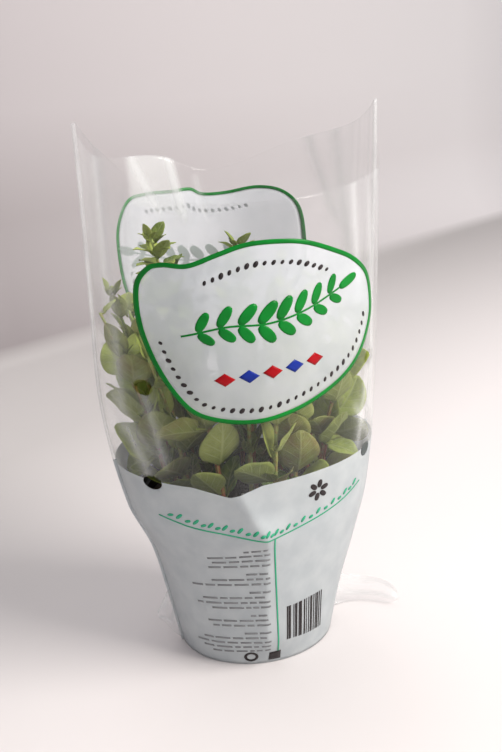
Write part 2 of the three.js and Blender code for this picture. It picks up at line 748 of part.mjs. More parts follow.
const oregano = new THREE.Group();
oregano.add(makePot(), makeSoil(stems), plant, makeSleeve());

export default oregano;
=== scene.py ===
"""Finish of a pot-grown oregano plant in its clear herb sleeve.

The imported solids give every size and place. This script grows the same stems and leaves from
the same rule and seed with fine blades, and dresses the pot, the compost and the printed film.
Lengths are in millimetres until a mesh is made, and angles in radians unless a name says so.
"""

from __future__ import annotations

import logging
import math
from collections.abc import Sequence
from dataclasses import dataclass, field
from enum import Enum

import bpy
import numpy as np
from mathutils import Matrix


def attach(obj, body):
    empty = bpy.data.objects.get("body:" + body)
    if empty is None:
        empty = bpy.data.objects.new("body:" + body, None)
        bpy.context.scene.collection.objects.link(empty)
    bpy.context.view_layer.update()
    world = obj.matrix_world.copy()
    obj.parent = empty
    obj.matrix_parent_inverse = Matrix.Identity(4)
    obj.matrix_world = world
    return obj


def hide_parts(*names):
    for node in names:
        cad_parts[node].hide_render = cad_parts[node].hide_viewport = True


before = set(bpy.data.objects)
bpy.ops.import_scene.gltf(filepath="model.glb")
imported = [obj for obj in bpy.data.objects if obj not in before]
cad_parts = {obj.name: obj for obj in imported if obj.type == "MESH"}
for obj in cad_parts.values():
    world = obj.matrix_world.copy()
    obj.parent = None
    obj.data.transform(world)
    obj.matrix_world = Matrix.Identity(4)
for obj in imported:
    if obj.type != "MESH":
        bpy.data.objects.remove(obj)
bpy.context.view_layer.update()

LOG = logging.getLogger("oregano")
MM = 0.001
BODY = "root"
GOLDEN_ANGLE = math.pi * (3 - math.sqrt(5))

Array = np.ndarray
Faces = list[list[int]]
Pair = tuple[float, float]
Triple = tuple[float, float, float]
Table = tuple[tuple[float, ...], ...]
Path2D = Sequence[Pair]
Rng = np.random.Generator
Piece = bpy.types.Object
Material = bpy.types.Material
Node = bpy.types.Node
Socket = bpy.types.NodeSocket


# ---------- small helpers


def linear(hex_code: str) -> tuple[float, float, float, float]:
    """Turns an sRGB hex code to Blender's linear colour.

    Args:
        hex_code: Six hex digits with or without a leading hash.

    Returns:
        Red, green, blue and an alpha of 1.
    """
    digits = hex_code.lstrip("#")
    channels = [int(digits[i : i + 2], 16) / 255 for i in (0, 2, 4)]
    curved = [c / 12.92 if c <= 0.04045 else ((c + 0.055) / 1.055) ** 2.4 for c in channels]
    return (*curved, 1.0)


def feed(tree: bpy.types.NodeTree, socket: Socket, value: object) -> None:
    """Links another socket to a node's input, or gives the input a plain value."""
    if isinstance(value, Socket):
        tree.links.new(value, socket)
    else:
        socket.default_value = value


def add_node(
    tree: bpy.types.NodeTree, kind: str, settings: dict | None = None, inputs: dict | None = None
) -> Node:
    """Adds a node with its settings and its links.

    Args:
        tree: The node's tree.
        kind: Its type name.
        settings: Its properties by name.
        inputs: Plain values or output sockets by the input's name or index.

    Returns:
        The new node.
    """
    node = tree.nodes.new(kind)
    for name, value in (settings or {}).items():
        setattr(node, name, value)
    for key, value in (inputs or {}).items():
        feed(tree, node.inputs[key], value)
    return node


def smooth_step(low: float, high: float, value: Array) -> Array:
    """Gives 0 below low, 1 above high and a smooth rise between them."""
    share = np.clip((value - low) / (high - low), 0, 1)
    return share * share * (3 - 2 * share)


def along_stations(positions: Sequence[float], values: Sequence[float], at: Array) -> Array:
    """Reads a smooth curve that passes through the values at a row of stations.

    Args:
        positions: The stations' places, in rising order.
        values: The value at each station.
        at: The places to read.

    Returns:
        The value at each place.
    """
    positions, values, at = (np.asarray(numbers, float) for numbers in (positions, values, at))
    last = len(positions) - 1
    i = np.searchsorted(positions[1:last], at, side="right")
    before, after = np.maximum(i - 1, 0), np.minimum(i + 2, last)
    span = positions[i + 1] - positions[i]
    t = np.clip((at - positions[i]) / span, 0, 1)
    start = (values[i + 1] - values[before]) / (positions[i + 1] - positions[before]) * span
    end = (values[after] - values[i]) / (positions[after] - positions[i]) * span
    return (
        (2 * t**3 - 3 * t**2 + 1) * values[i]
        + (t**3 - 2 * t**2 + t) * start
        + (3 * t**2 - 2 * t**3) * values[i + 1]
        + (t**3 - t**2) * end
    )


def smooth_loop(points: Path2D, count: int) -> Array:
    """Draws one smooth closed curve through a few points.

    Args:
        points: The points that the curve passes, in order.
        count: How many points the curve is read at.

    Returns:
        An array of count rows of x and z.
    """
    knots = np.array(points, float)
    span = np.arange(count) * len(knots) / count
    i = np.floor(span).astype(int)
    t = (span - i)[:, None]
    p0, p1, p2, p3 = (knots[(i + k) % len(knots)] for k in (-1, 0, 1, 2))
    return 0.5 * (
        2 * p1 + (p2 - p0) * t + (2 * p0 - 5 * p1 + 4 * p2 - p3) * t**2
        + (3 * p1 - p0 - 3 * p2 + p3) * t**3
    )


def unit(vectors: Array) -> Array:
    """Scales vectors to a length of 1."""
    return vectors / np.linalg.norm(vectors, axis=-1, keepdims=True)


def abreast(*values: Array | float) -> Array:
    """Sets coordinates side by side, so that each row is a point."""
    return np.stack(np.broadcast_arrays(*values), axis=-1)


def leftward(line: Array, closed: bool) -> Array:
    """Gives the direction out to the left of a flat line at each of its points."""
    course = np.roll(line, -1, 0) - np.roll(line, 1, 0) if closed else np.gradient(line, axis=0)
    along = unit(course)
    return abreast(-along[:, 1], along[:, 0])


def turns(count: int) -> Array:
    """Gives even turns round a circle, in radians."""
    return np.arange(count) * 2 * math.pi / count


def circle(count: int, radius: float = 1.0) -> Array:
    """Gives the points of a level circle about the origin."""
    turn = turns(count)
    return radius * abreast(np.cos(turn), np.sin(turn), 0.0)


def smooth_line(points: Path2D, count: int) -> Array:
    """Draws one smooth open curve through a few points, evenly stepped between them."""
    knots = np.array(points, float)
    places = np.arange(len(knots), dtype=float)
    at = np.linspace(0, len(knots) - 1, count)
    return abreast(*(along_stations(places, column, at) for column in knots.T))


# ---------- meshes and pieces


@dataclass
class Draft:
    """A mesh being put together from patches, in millimetres."""

    points: list[Array] = field(default_factory=list)
    faces: Faces = field(default_factory=list)
    slots: list[int] = field(default_factory=list)
    uvs: list[Array] = field(default_factory=list)
    tones: list[Array] = field(default_factory=list)
    size: int = 0

    def add(
        self,
        points: Array,
        faces: Faces,
        slot: int | list[int] = 0,
        uv: Array | None = None,
        tone: Array | float = 0.5,
    ) -> None:
        """Adds one patch.

        Args:
            points: Its points, one row each.
            faces: Its faces, as rows of indices into those points.
            slot: The material index of all faces, or of each one.
            uv: Two numbers a point that the material follows the surface by.
            tone: Age with painted shade mixed in, and blush, as two columns, or one number for both.
        """
        points = points.reshape(-1, 3)
        count = len(points)
        self.points.append(points)
        self.faces.extend([[i + self.size for i in face] for face in faces])
        self.slots.extend(slot if isinstance(slot, list) else [slot] * len(faces))
        self.uvs.append(np.zeros((count, 2)) if uv is None else uv)
        self.tones.append(np.broadcast_to(np.asarray(tone, float), (count, 2)))
        self.size += count

    def build(self, name: str, materials: list[Material]) -> Piece:
        """Makes the object, in metres, with its UV map "surface" and attributes for age, with painted shade
        in it, and blush.

        Args:
            name: The object's name.
            materials: Its materials in slot order.

        Returns:
            The new object, linked to the scene.
        """
        mesh = bpy.data.meshes.new(name)
        mesh.from_pydata((np.concatenate(self.points) * MM).tolist(), [], self.faces)
        mesh.polygons.foreach_set("material_index", self.slots)
        corners = np.zeros(len(mesh.loops), np.int32)
        mesh.loops.foreach_get("vertex_index", corners)
        layer = mesh.uv_layers.new(name="surface")
        layer.uv.foreach_set("vector", np.concatenate(self.uvs)[corners].astype(np.float32).ravel())
        tones = np.concatenate(self.tones).astype(np.float32)
        for column, attribute in enumerate(("age", "blush")):
            made = mesh.attributes.new(attribute, "FLOAT", "POINT")
            made.data.foreach_set("value", np.ascontiguousarray(tones[:, column]))
        for material in materials:
            mesh.materials.append(material)
        mesh.shade_smooth()
        return linked(name, mesh)


def one_patch(
    name: str, materials: list[Material], points: Array, faces: Faces, slot: int | list[int] = 0
) -> Piece:
    """Makes an object of a single patch.

    Args:
        name: The object's name.
        materials: Its materials in slot order.
        points: Its points, one row each.
        faces: Its faces, as rows of indices into those points.
        slot: The material index of all faces, or of each one.

    Returns:
        The new object.
    """
    draft = Draft()
    draft.add(points, faces, slot)
    return draft.build(name, materials)


def linked(name: str, data: bpy.types.ID) -> Piece:
    """Makes an object of a mesh, camera or light and links it to the scene."""
    piece = bpy.data.objects.new(name, data)
    bpy.context.scene.collection.objects.link(piece)
    return piece


def grid_faces(rows: int, columns: int, closed: bool = False, flip: bool = False) -> Faces:
    """Lists the quads of a grid of points.

    Args:
        rows: Rows of points.
        columns: Points in a row.
        closed: Whether a row's last point joins its first.
        flip: Whether the faces are wound the other way.

    Returns:
        The quads as index rows.
    """
    faces = []
    for row in range(rows - 1):
        for column in range(columns if closed else columns - 1):
            a = row * columns + column
            b = row * columns + (column + 1) % columns
            quad = [a, b, b + columns, a + columns]
            faces.append(quad[::-1] if flip else quad)
    return faces


def tube_faces(rows: int, sides: int, flip: bool = False) -> Faces:
    """Lists the faces of a tube of closed rings, capped at both ends.

    Args:
        rows: Rings of points.
        sides: Points in a ring.
        flip: Whether the faces are wound the other way.

    Returns:
        The faces as index rows.
    """
    first = list(range(sides))[::-1]
    last = [(rows - 1) * sides + k for k in range(sides)]
    caps = [first[::-1], last[::-1]] if flip else [first, last]
    return grid_faces(rows, sides, closed=True, flip=flip) + caps


def set_haze_and_highlight(piece: Piece, values: Array | float) -> None:
    """Writes how milky the film is on a piece, painted highlight included where the values hold it.

    Args:
        piece: The piece of film.
        values: One number from 0 to 1 a point, or one for all.
    """
    made = piece.data.attributes.new("haze", "FLOAT", "POINT")
    spread = np.broadcast_to(np.asarray(values, np.float32).ravel(), len(piece.data.vertices))
    made.data.foreach_set("value", np.ascontiguousarray(spread))


def stand(piece: Piece, axes: tuple[Array, Array, Array], place: Triple) -> None:
    """Stands a camera or a light up.

    Args:
        piece: The camera or light.
        axes: The directions of its own X, Y and Z axes.
        place: Where it stands, in millimetres.
    """
    matrix = Matrix.Identity(4)
    for row in range(3):
        matrix[row] = (*(axis[row] for axis in axes), place[row] * MM)
    piece.matrix_world = matrix


def settled(piece: Piece) -> Piece:
    """Turns a piece with modifiers into a plain mesh without them.

    Args:
        piece: The object whose modifiers are ready to apply.

    Returns:
        The same object with the evaluated mesh.
    """
    depsgraph = bpy.context.evaluated_depsgraph_get()
    made = bpy.data.meshes.new_from_object(
        piece.evaluated_get(depsgraph), preserve_all_data_layers=True, depsgraph=depsgraph
    )
    piece.modifiers.clear()
    piece.data = made
    return piece


def thickened(piece: Piece, thickness: float) -> Piece:
    """Gives a sheet its thickness, half on each side, with its edges closed."""
    wall = piece.modifiers.new("thickness", "SOLIDIFY")
    wall.thickness = thickness * MM
    wall.offset = 0
    wall.use_even_offset = True
    return settled(piece)


def add_rod(draft: Draft, ring: Array, start: Array, end: Array) -> None:
    """Adds a closed rod.

    Args:
        draft: The mesh so far.
        ring: The rod's section, turning with the right hand about the way from start to end.
        start: The middle of its first end.
        end: The middle of its last end.
    """
    draft.add(np.stack([ring + start, ring + end]), tube_faces(2, len(ring)))


def cut(piece: Piece, cutter: Piece) -> None:
    """Cuts one object out of another and deletes the cutter."""
    bite = piece.modifiers.new("cut", "BOOLEAN")
    bite.operation, bite.solver, bite.object = "DIFFERENCE", "EXACT", cutter
    settled(piece)
    bpy.data.objects.remove(cutter)


def fitted(piece: Piece, nodes: tuple[str, ...] = ()) -> Piece:
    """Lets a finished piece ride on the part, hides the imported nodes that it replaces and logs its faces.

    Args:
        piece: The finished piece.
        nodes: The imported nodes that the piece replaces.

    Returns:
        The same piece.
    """
    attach(piece, BODY)
    if nodes:
        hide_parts(*nodes)
    LOG.info("%s: %d faces", piece.name, len(piece.data.polygons))
    return piece


# ---------- geometry node trees


class NodeTree:
    """A Geometry Nodes tree with named inputs that repeats one object."""

    def __init__(self, name: str, **inputs: str) -> None:
        """Makes the empty tree, which always takes an object and a material.

        Args:
            name: The tree's name.
            **inputs: The kind of each further input.
        """
        self.tree = bpy.data.node_groups.new(name, "GeometryNodeTree")
        face = self.tree.interface
        face.new_socket("Geometry", in_out="INPUT", socket_type="NodeSocketGeometry")
        self.sockets = {
            key: face.new_socket(key, in_out="INPUT", socket_type=f"NodeSocket{kind}").identifier
            for key, kind in {"Object": "Object", "Material": "Material", **inputs}.items()
        }
        face.new_socket("Geometry", in_out="OUTPUT", socket_type="NodeSocketGeometry")
        self.given = self.add("NodeGroupInput").outputs

    def add(self, kind: str, settings: dict | None = None, inputs: dict | None = None) -> Node:
        """Adds a node to this tree."""
        return add_node(self.tree, kind, settings, inputs)

    def drawn_size(self) -> Socket:
        """Draws a size for each copy, between the inputs Smallest and Largest."""
        given = self.given
        limits = {2: given["Smallest"], 3: given["Largest"], "Seed": given["Seed"]}
        return self.add("FunctionNodeRandomValue", {"data_type": "FLOAT"}, limits).outputs["Value"]

    def product(self, vector: Socket, factors: Socket | tuple[float, ...]) -> Socket:
        """Multiplies a vector by factors, axis by axis."""
        node = self.add("ShaderNodeVectorMath", {"operation": "MULTIPLY"}, {0: vector, 1: factors})
        return node.outputs[0]

    def copies(self, **places: Socket) -> Socket:
        """Sets copies of the object on points, with the rotation and scale that are given."""
        source = self.add("GeometryNodeObjectInfo", inputs={"Object": self.given["Object"]})
        inputs = {"Instance": source.outputs["Geometry"], **places}
        return self.add("GeometryNodeInstanceOnPoints", inputs=inputs).outputs[0]

    def close(self, geometry: Socket) -> NodeTree:
        """Ends the tree in real geometry with its material and returns the tree."""
        real = self.add("GeometryNodeRealizeInstances", inputs={0: geometry}).outputs[0]
        coat = {"Geometry": real, "Material": self.given["Material"]}
        coated = self.add("GeometryNodeSetMaterial", inputs=coat)
        self.add("NodeGroupOutput", inputs={0: coated.outputs[0]})
        return self

    def run(self, piece: Piece, **values: object) -> Piece:
        """Runs the tree on a piece.

        Args:
            piece: The object that gives the geometry.
            **values: A value for each named input.

        Returns:
            The piece with the tree's result as its plain mesh.
        """
        modifier = piece.modifiers.new("repeat", "NODES")
        modifier.node_group = self.tree
        for key, value in values.items():
            modifier[self.sockets[key]] = value
        piece = settled(piece)
        piece.data.shade_smooth()
        return piece


def scatter_tree() -> NodeTree:
    """Builds the tree that strews copies of one object over a surface, standing on it."""
    made = NodeTree("scatter", Density="Float", Smallest="Float", Largest="Float", Tilt="Float", Seed="Int")
    given = made.given
    bed = {"Mesh": given["Geometry"], "Density": given["Density"], "Seed": given["Seed"]}
    spots = made.add("GeometryNodeDistributePointsOnFaces", inputs=bed)
    limits = {0: (-math.pi,) * 3, 1: (math.pi,) * 3, "Seed": given["Seed"]}
    spin = made.add("FunctionNodeRandomValue", {"data_type": "FLOAT_VECTOR"}, limits)
    tilt = made.add("ShaderNodeCombineXYZ", inputs={0: given["Tilt"], 1: given["Tilt"], 2: 1.0})
    turned = {0: spots.outputs["Rotation"], 1: made.product(spin.outputs[0], tilt.outputs[0])}
    aim = made.add("FunctionNodeRotateRotation", {"rotation_space": "LOCAL"}, turned).outputs[0]
    return made.close(made.copies(Points=spots.outputs["Points"], Rotation=aim, Scale=made.drawn_size()))


def row_tree() -> NodeTree:
    """Builds the tree that sets copies of one object at even steps along a path.

    The path's points carry the direction "outward"; a copy's Z axis turns to it and its X
    axis to the path.
    """
    made = NodeTree("row", Spacing="Float", Smallest="Float", Largest="Float", Seed="Int")
    line = made.add("GeometryNodeMeshToCurve", inputs={0: made.given["Geometry"]}).outputs[0]
    spacing = {"Curve": line, "Length": made.given["Spacing"]}
    steps = made.add("GeometryNodeResampleCurve", {"mode": "LENGTH"}, spacing).outputs[0]
    outward = made.add("GeometryNodeInputNamedAttribute", {"data_type": "FLOAT_VECTOR"}, {0: "outward"})
    axes = {0: outward.outputs[0], 1: made.add("GeometryNodeInputTangent").outputs[0]}
    aim = made.add("FunctionNodeAxesToRotation", {"primary_axis": "Z", "secondary_axis": "X"}, axes)
    return made.close(made.copies(Points=steps, Rotation=aim.outputs[0], Scale=made.drawn_size()))


def ring_tree() -> NodeTree:
    """Builds the tree that sets copies of one object round a circle, facing out."""
    made = NodeTree("ring", Count="Int")
    circle = made.add("GeometryNodeMeshCircle", inputs={"Vertices": made.given["Count"], "Radius": 1.0})
    place = made.add("GeometryNodeInputPosition").outputs[0]
    aim = made.add("FunctionNodeAlignRotationToVector", {"axis": "X"}, {"Vector": place})
    copies = made.copies(Points=circle.outputs["Mesh"], Rotation=aim.outputs[0])
    back = made.product(place, (-1.0, -1.0, 0.0))
    shift = {"Instances": copies, "Translation": back, "Local Space": False}
    return made.close(made.add("GeometryNodeTranslateInstances", inputs=shift).outputs[0])


# ---------- finishes


class Paint:
    """A material being mixed: its Principled shader and the values that feed it."""

    def __init__(self, name: str, roughness: float) -> None:
        """Makes the material with a bare Principled shader."""
        self.material = bpy.data.materials.new(name)
        self.material.use_nodes = True
        self.tree = self.material.node_tree
        self.shader = next(n for n in self.tree.nodes if n.type == "BSDF_PRINCIPLED")
        self.end = next(n for n in self.tree.nodes if n.type == "OUTPUT_MATERIAL")
        self.surface = self.shader.outputs[0]
        self.set("Roughness", roughness)

    def add(self, kind: str, settings: dict | None = None, inputs: dict | None = None) -> Node:
        """Adds a node to the material."""
        return add_node(self.tree, kind, settings, inputs)

    def set(self, name: str, value: Socket | float | tuple[float, ...]) -> None:
        """Feeds one input of the shader."""
        feed(self.tree, self.shader.inputs[name], value)

    def computed(self, operation: str, *values: Socket | float) -> Socket:
        """Adds one Math node and returns its result."""
        return self.add("ShaderNodeMath", {"operation": operation}, dict(enumerate(values))).outputs[0]

    def ranged(self, value: Socket, low: float, high: float, to: Pair = (0.0, 1.0)) -> Socket:
        """Maps a value from one range to another, clamped."""
        ends = {0: value, 1: low, 2: high, 3: to[0], 4: to[1]}
        return self.add("ShaderNodeMapRange", inputs=ends).outputs[0]

    def blended(self, share: Socket | float, low: Socket | str, high: Socket | str) -> Socket:
        """Mixes two colours, each a socket or an sRGB hex code.

        Args:
            share: How much of the second colour shows.
            low: The first colour.
            high: The second colour.

        Returns:
            The mixed colour.
        """
        low, high = (linear(c) if isinstance(c, str) else c for c in (low, high))
        return self.add("ShaderNodeMix", {"data_type": "RGBA"}, {0: share, 6: low, 7: high}).outputs[2]

    def attribute(self, name: str) -> Socket:
        """Reads one of the mesh's own values."""
        return self.add("ShaderNodeAttribute", {"attribute_name": name}).outputs["Fac"]

    def grain(self, size: float, detail: float = 3.0) -> Socket:
        """Adds noise whose blotches have a real size.

        Args:
            size: The width of a blotch in millimetres.
            detail: Octaves of finer noise.

        Returns:
            The noise's value.
        """
        place = self.add("ShaderNodeTexCoord").outputs["Object"]
        blotch = {"Vector": place, "Scale": 1 / (size * MM), "Detail": detail}
        return self.add("ShaderNodeTexNoise", inputs=blotch).outputs[0]

    def bumped(self, height: Socket, depth: float) -> Socket:
        """Turns a height from 0 to 1 to a normal; the depth of 1 is in millimetres."""
        return self.add("ShaderNodeBump", inputs={"Distance": depth * MM, "Height": height}).outputs[0]

    def facing(self, blend: float) -> Socket:
        """Tells how steeply the surface is seen."""
        return self.add("ShaderNodeLayerWeight", inputs={"Blend": blend}).outputs["Facing"]

    def cover(self, share: Socket | float, under: Socket, over: Socket) -> None:
        """Ends the material in two mixed shaders, the second by the share."""
        mix = self.add("ShaderNodeMixShader", inputs={0: share, 1: under, 2: over})
        self.surface = mix.outputs[0]
        self.tree.links.new(self.surface, self.end.inputs["Surface"])

    def let_through(self, colour: Socket, share: float) -> None:
        """Lets a share of the light shine through a thin body, tinted by its colour."""
        glow = self.add("ShaderNodeBsdfTranslucent", inputs={"Color": colour})
        self.cover(share, self.surface, glow.outputs[0])


@dataclass(frozen=True)
class Finish:
    """A surface finish: one Principled shader in a material of its own."""

    name: str
    roughness: float = 0.5

    def start(self) -> Paint:
        """Starts the material with the finish's name and roughness."""
        return Paint(self.name, self.roughness)


class Face(Enum):
    """The two faces of a leaf."""

    UPPER = "upper"
    UNDER = "under"


@dataclass(frozen=True)
class LeafSkin(Finish):
    """Oregano leaf: soft, faintly hairy and dull, with sunken veins on top, raised below, and painted shade
    on leaves inside the foliage.
    """

    face: Face = Face.UPPER
    young: str = "#C0CE68"
    # mature leaves' colour, also given to inner leaves as painted shade
    mature_and_shaded: str = "#56702E"
    vein: str = "#C2CB90"
    blush: str = "#7A5448"
    veins_a_side: float = 5.2
    through: float = 0.34

    def build(self) -> Material:
        """Builds the leaf's material from its own surface map: u across, v along."""
        paint = self.start()
        surface = paint.add("ShaderNodeUVMap", {"uv_map": "surface"})
        u, v, _ = paint.add("ShaderNodeSeparateXYZ", inputs={0: surface.outputs[0]}).outputs
        across = paint.computed("ABSOLUTE", paint.computed("MULTIPLY_ADD", u, 2, -1))
        rib = paint.ranged(across, 0.03, 0.09, (1.0, 0.0))
        lean = paint.computed("MULTIPLY", paint.computed("POWER", across, 0.85), 0.26)
        phase = paint.computed("MULTIPLY", paint.computed("SUBTRACT", v, lean), self.veins_a_side)
        off_vein = paint.computed("PINGPONG", phase, 0.5)
        side_vein = paint.ranged(off_vein, 0.02, 0.1, (0.8, 0.0))
        fading = paint.ranged(across, 0.55, 0.95, (1.0, 0.15))
        veins = paint.computed("MAXIMUM", rib, paint.computed("MULTIPLY", side_vein, fading))
        patches = paint.ranged(paint.grain(6.0), 0.3, 0.7, (-0.22, 0.22))
        # The age attribute also holds painted shade, so inner leaves lean to the darker colour.
        shade = paint.computed("ADD", paint.attribute("age"), patches)
        colour = paint.blended(paint.ranged(shade, 0.0, 1.0), self.young, self.mature_and_shaded)
        paled = paint.computed("MULTIPLY", veins, 0.6 if self.face is Face.UNDER else 0.45)
        colour = paint.blended(paled, colour, self.vein)
        flush = paint.ranged(paint.grain(9.0), 0.3, 0.65)
        reddened = paint.computed("MULTIPLY", paint.attribute("blush"), flush)
        colour = paint.blended(reddened, colour, self.blush)
        paint.set("Base Color", colour)
        paint.set("Sheen Weight", 0.04)
        paint.set("Specular IOR Level", 0.18)
        quilted = paint.computed("MULTIPLY_ADD", paint.grain(1.6), 0.35, 0.0)
        sign = 1.0 if self.face is Face.UNDER else -1.0
        height = paint.computed("MULTIPLY_ADD", veins, sign, quilted)
        paint.set("Normal", paint.bumped(height, 0.22))
        paint.let_through(colour, self.through)
        return paint.material


@dataclass(frozen=True)
class StalkSkin(Finish):
    """Oregano stalk: yellow-green and tender above, reddening to brown at its foot."""

    tender: str = "#93A458"
    red: str = "#9C5B38"

    def build(self) -> Material:
        """Builds the stalk's material, redder where the blush attribute says."""
        paint = self.start()
        streaks = paint.ranged(paint.grain(2.5), 0.35, 0.65, (-0.25, 0.25))
        share = paint.ranged(paint.computed("ADD", paint.attribute("blush"), streaks), 0.1, 0.9)
        paint.set("Base Color", paint.blended(share, self.tender, self.red))
        paint.set("Normal", paint.bumped(paint.grain(0.8), 0.12))
        return paint.material


@dataclass(frozen=True)
class CompostSkin(Finish):
    """Peat compost: matt, fibrous and nearly black where it is damp."""

    damp: str = "#241A13"
    dry: str = "#55402F"
    grit: float = 1.4

    def build(self) -> Material:
        """Builds the compost's material with fibres and grit in relief."""
        paint = self.start()
        wet = paint.ranged(paint.grain(9.0), 0.35, 0.65)
        grit = paint.grain(self.grit, 5.0)
        share = paint.computed("MULTIPLY", wet, paint.ranged(grit, 0.3, 0.7))
        paint.set("Base Color", paint.blended(share, self.damp, self.dry))
        paint.set("Normal", paint.bumped(grit, 0.8))
        return paint.material


@dataclass(frozen=True)
class MouldedPlastic(Finish):
    """Moulded polypropylene: even colour, faint flow marks and a satin skin."""

    colour: str = "#2B2A29"
    worn: str = "#3A3937"

    def build(self) -> Material:
        """Builds the plastic with its fine moulded texture."""
        paint = self.start()
        flow = paint.ranged(paint.grain(14.0), 0.35, 0.7)
        paint.set("Base Color", paint.blended(flow, self.colour, self.worn))
        paint.set("Normal", paint.bumped(paint.grain(0.6), 0.05))
        return paint.material


@dataclass(frozen=True)
class ClearFilm(Finish):
    """Cast polypropylene film: clear and glossy, milky where it is creased or seen edge on, and whiter
    where its haze attribute holds painted highlight.
    """

    tint: str = "#E9EBEC"
    haze: float = 0.005
    haze_and_highlight_gain: float = 0.4
    edge_haze: float = 0.05
    mirror: float = 0.25

    def build(self) -> Material:
        """Builds the film: a see-through body under a mirror that grows towards its edges."""
        paint = self.start()
        paint.set("Base Color", linear(self.tint))
        smears = paint.ranged(paint.grain(18.0, 2.0), 0.35, 0.75, (0.0, 0.006))
        edge = paint.computed("MULTIPLY", paint.facing(0.35), self.edge_haze)
        even = paint.computed("ADD", paint.computed("ADD", edge, smears), self.haze)
        # The haze attribute carries milkiness and painted highlight, at folds and on a patch of the back
        # panel.
        body = paint.computed("MULTIPLY_ADD", paint.attribute("haze"), self.haze_and_highlight_gain, even)
        paint.set("Alpha", paint.ranged(body, 0.0, 1.0))
        schlick = paint.computed("MULTIPLY_ADD", paint.computed("POWER", paint.facing(0.5), 5), 0.96, 0.04)
        ripple = paint.bumped(paint.grain(16.0, 1.0), 0.5)
        shine = {"Color": linear("#FFFFFF"), "Roughness": 0.09, "Normal": ripple}
        gloss = paint.add("ShaderNodeBsdfGlossy", inputs=shine)
        paint.cover(paint.computed("MULTIPLY", schlick, self.mirror), paint.surface, gloss.outputs[0])
        return paint.material


@dataclass(frozen=True)
class Ink(Finish):
    """Flexo ink on film: thin, smooth and a little uneven, with light passing through."""

    colour: str = "#F4F5F5"
    deep: str = "#E8EAEA"
    through: float = 0.0
    covering: float = 1.0

    def build(self) -> Material:
        """Builds the ink; a pale one lets light through and doesn't cover what is behind."""
        paint = self.start()
        uneven = paint.ranged(paint.grain(11.0, 4.0), 0.35, 0.65)
        colour = paint.blended(uneven, self.colour, self.deep)
        paint.set("Base Color", colour)
        paint.set("Normal", paint.bumped(paint.grain(7.0, 1.0), 0.05))
        paint.set("Specular IOR Level", 0.15)
        if self.through:
            paint.let_through(colour, self.through)
        if self.covering < 1:
            clear = paint.add("ShaderNodeBsdfTransparent")
            paint.cover(self.covering, clear.outputs[0], paint.surface)
        return paint.material


@dataclass(frozen=True)
class StudioPaper(Finish):
    """Matt backdrop paper with painted shade: warm white near by, darker further off, with a dim foot where
    it curves up, greyer on the wall and paler towards the right.
    """

    floor: tuple[str, str] = ("#DDD8D8", "#BFBBBA")
    away: float = 500
    foot: tuple[str, str] = ("#979091", "#EEE9EA")
    wall: tuple[str, str] = ("#BAB4B6", "#EEEAEB")
    sides: Pair = (-100, 900)
    fold: Pair = (2, 13)
    height: float = 300

    def build(self) -> Material:
        """Builds the paper with painted shade: a dim foot and a lighter wall, each paler towards the right,
        and a floor that darkens further off.
        """
        paint = self.start()
        place = paint.add("ShaderNodeTexCoord").outputs["Object"]
        x, y, z = paint.add("ShaderNodeSeparateXYZ", inputs={0: place}).outputs
        across = paint.ranged(x, *(side * MM for side in self.sides))
        folded = paint.ranged(z, *(height * MM for height in self.fold))
        risen = paint.ranged(z, self.fold[1] * MM, self.height * MM)
        # Painted shade: the foot is dim, and foot and wall darken towards the left.
        foot, wall = (paint.blended(across, *pair) for pair in (self.foot, self.wall))
        # Painted shade: the floor darkens towards the back and the left.
        away = paint.ranged(paint.computed("SUBTRACT", y, x), 0.0, self.away * MM)
        floor = paint.blended(away, *self.floor)
        paint.set("Base Color", paint.blended(folded, floor, paint.blended(risen, foot, wall)))
        paint.set("Specular IOR Level", 0.2)
        return paint.material


# ---------- the sleeve's form


class Panel(Enum):
    """The sleeve's two panels; the value is the side of the seams that each lies on."""

    FRONT = -1
    BACK = 1


@dataclass(frozen=True)
class Crease:
    """A fold in the film, from one point of a panel to another."""

    start: Pair
    end: Pair
    height: float
    width: float
    # how milky the fold makes the film: partly stress whitening, partly painted highlight
    haze: float

    def share(self, x: Array, z: Array, reach: float) -> Array:
        """Tells how much of the fold is felt at each point.

        Args:
            x: The points' x.
            z: The points' height.
            reach: How fast it dies away beside the fold, in millimetres.

        Returns:
            0 to 1 for each point.
        """
        (x0, z0), (x1, z1) = self.start, self.end
        length = math.hypot(x1 - x0, z1 - z0)
        ux, uz = (x1 - x0) / length, (z1 - z0) / length
        along = ((x - x0) * ux + (z - z0) * uz) / length
        beside = np.abs((x - x0) * uz - (z - z0) * ux)
        ends = smooth_step(-0.12, 0.15, along) * (1 - smooth_step(0.85, 1.12, along))
        return np.exp(-np.sqrt(beside**2 + 0.5) / reach) * ends


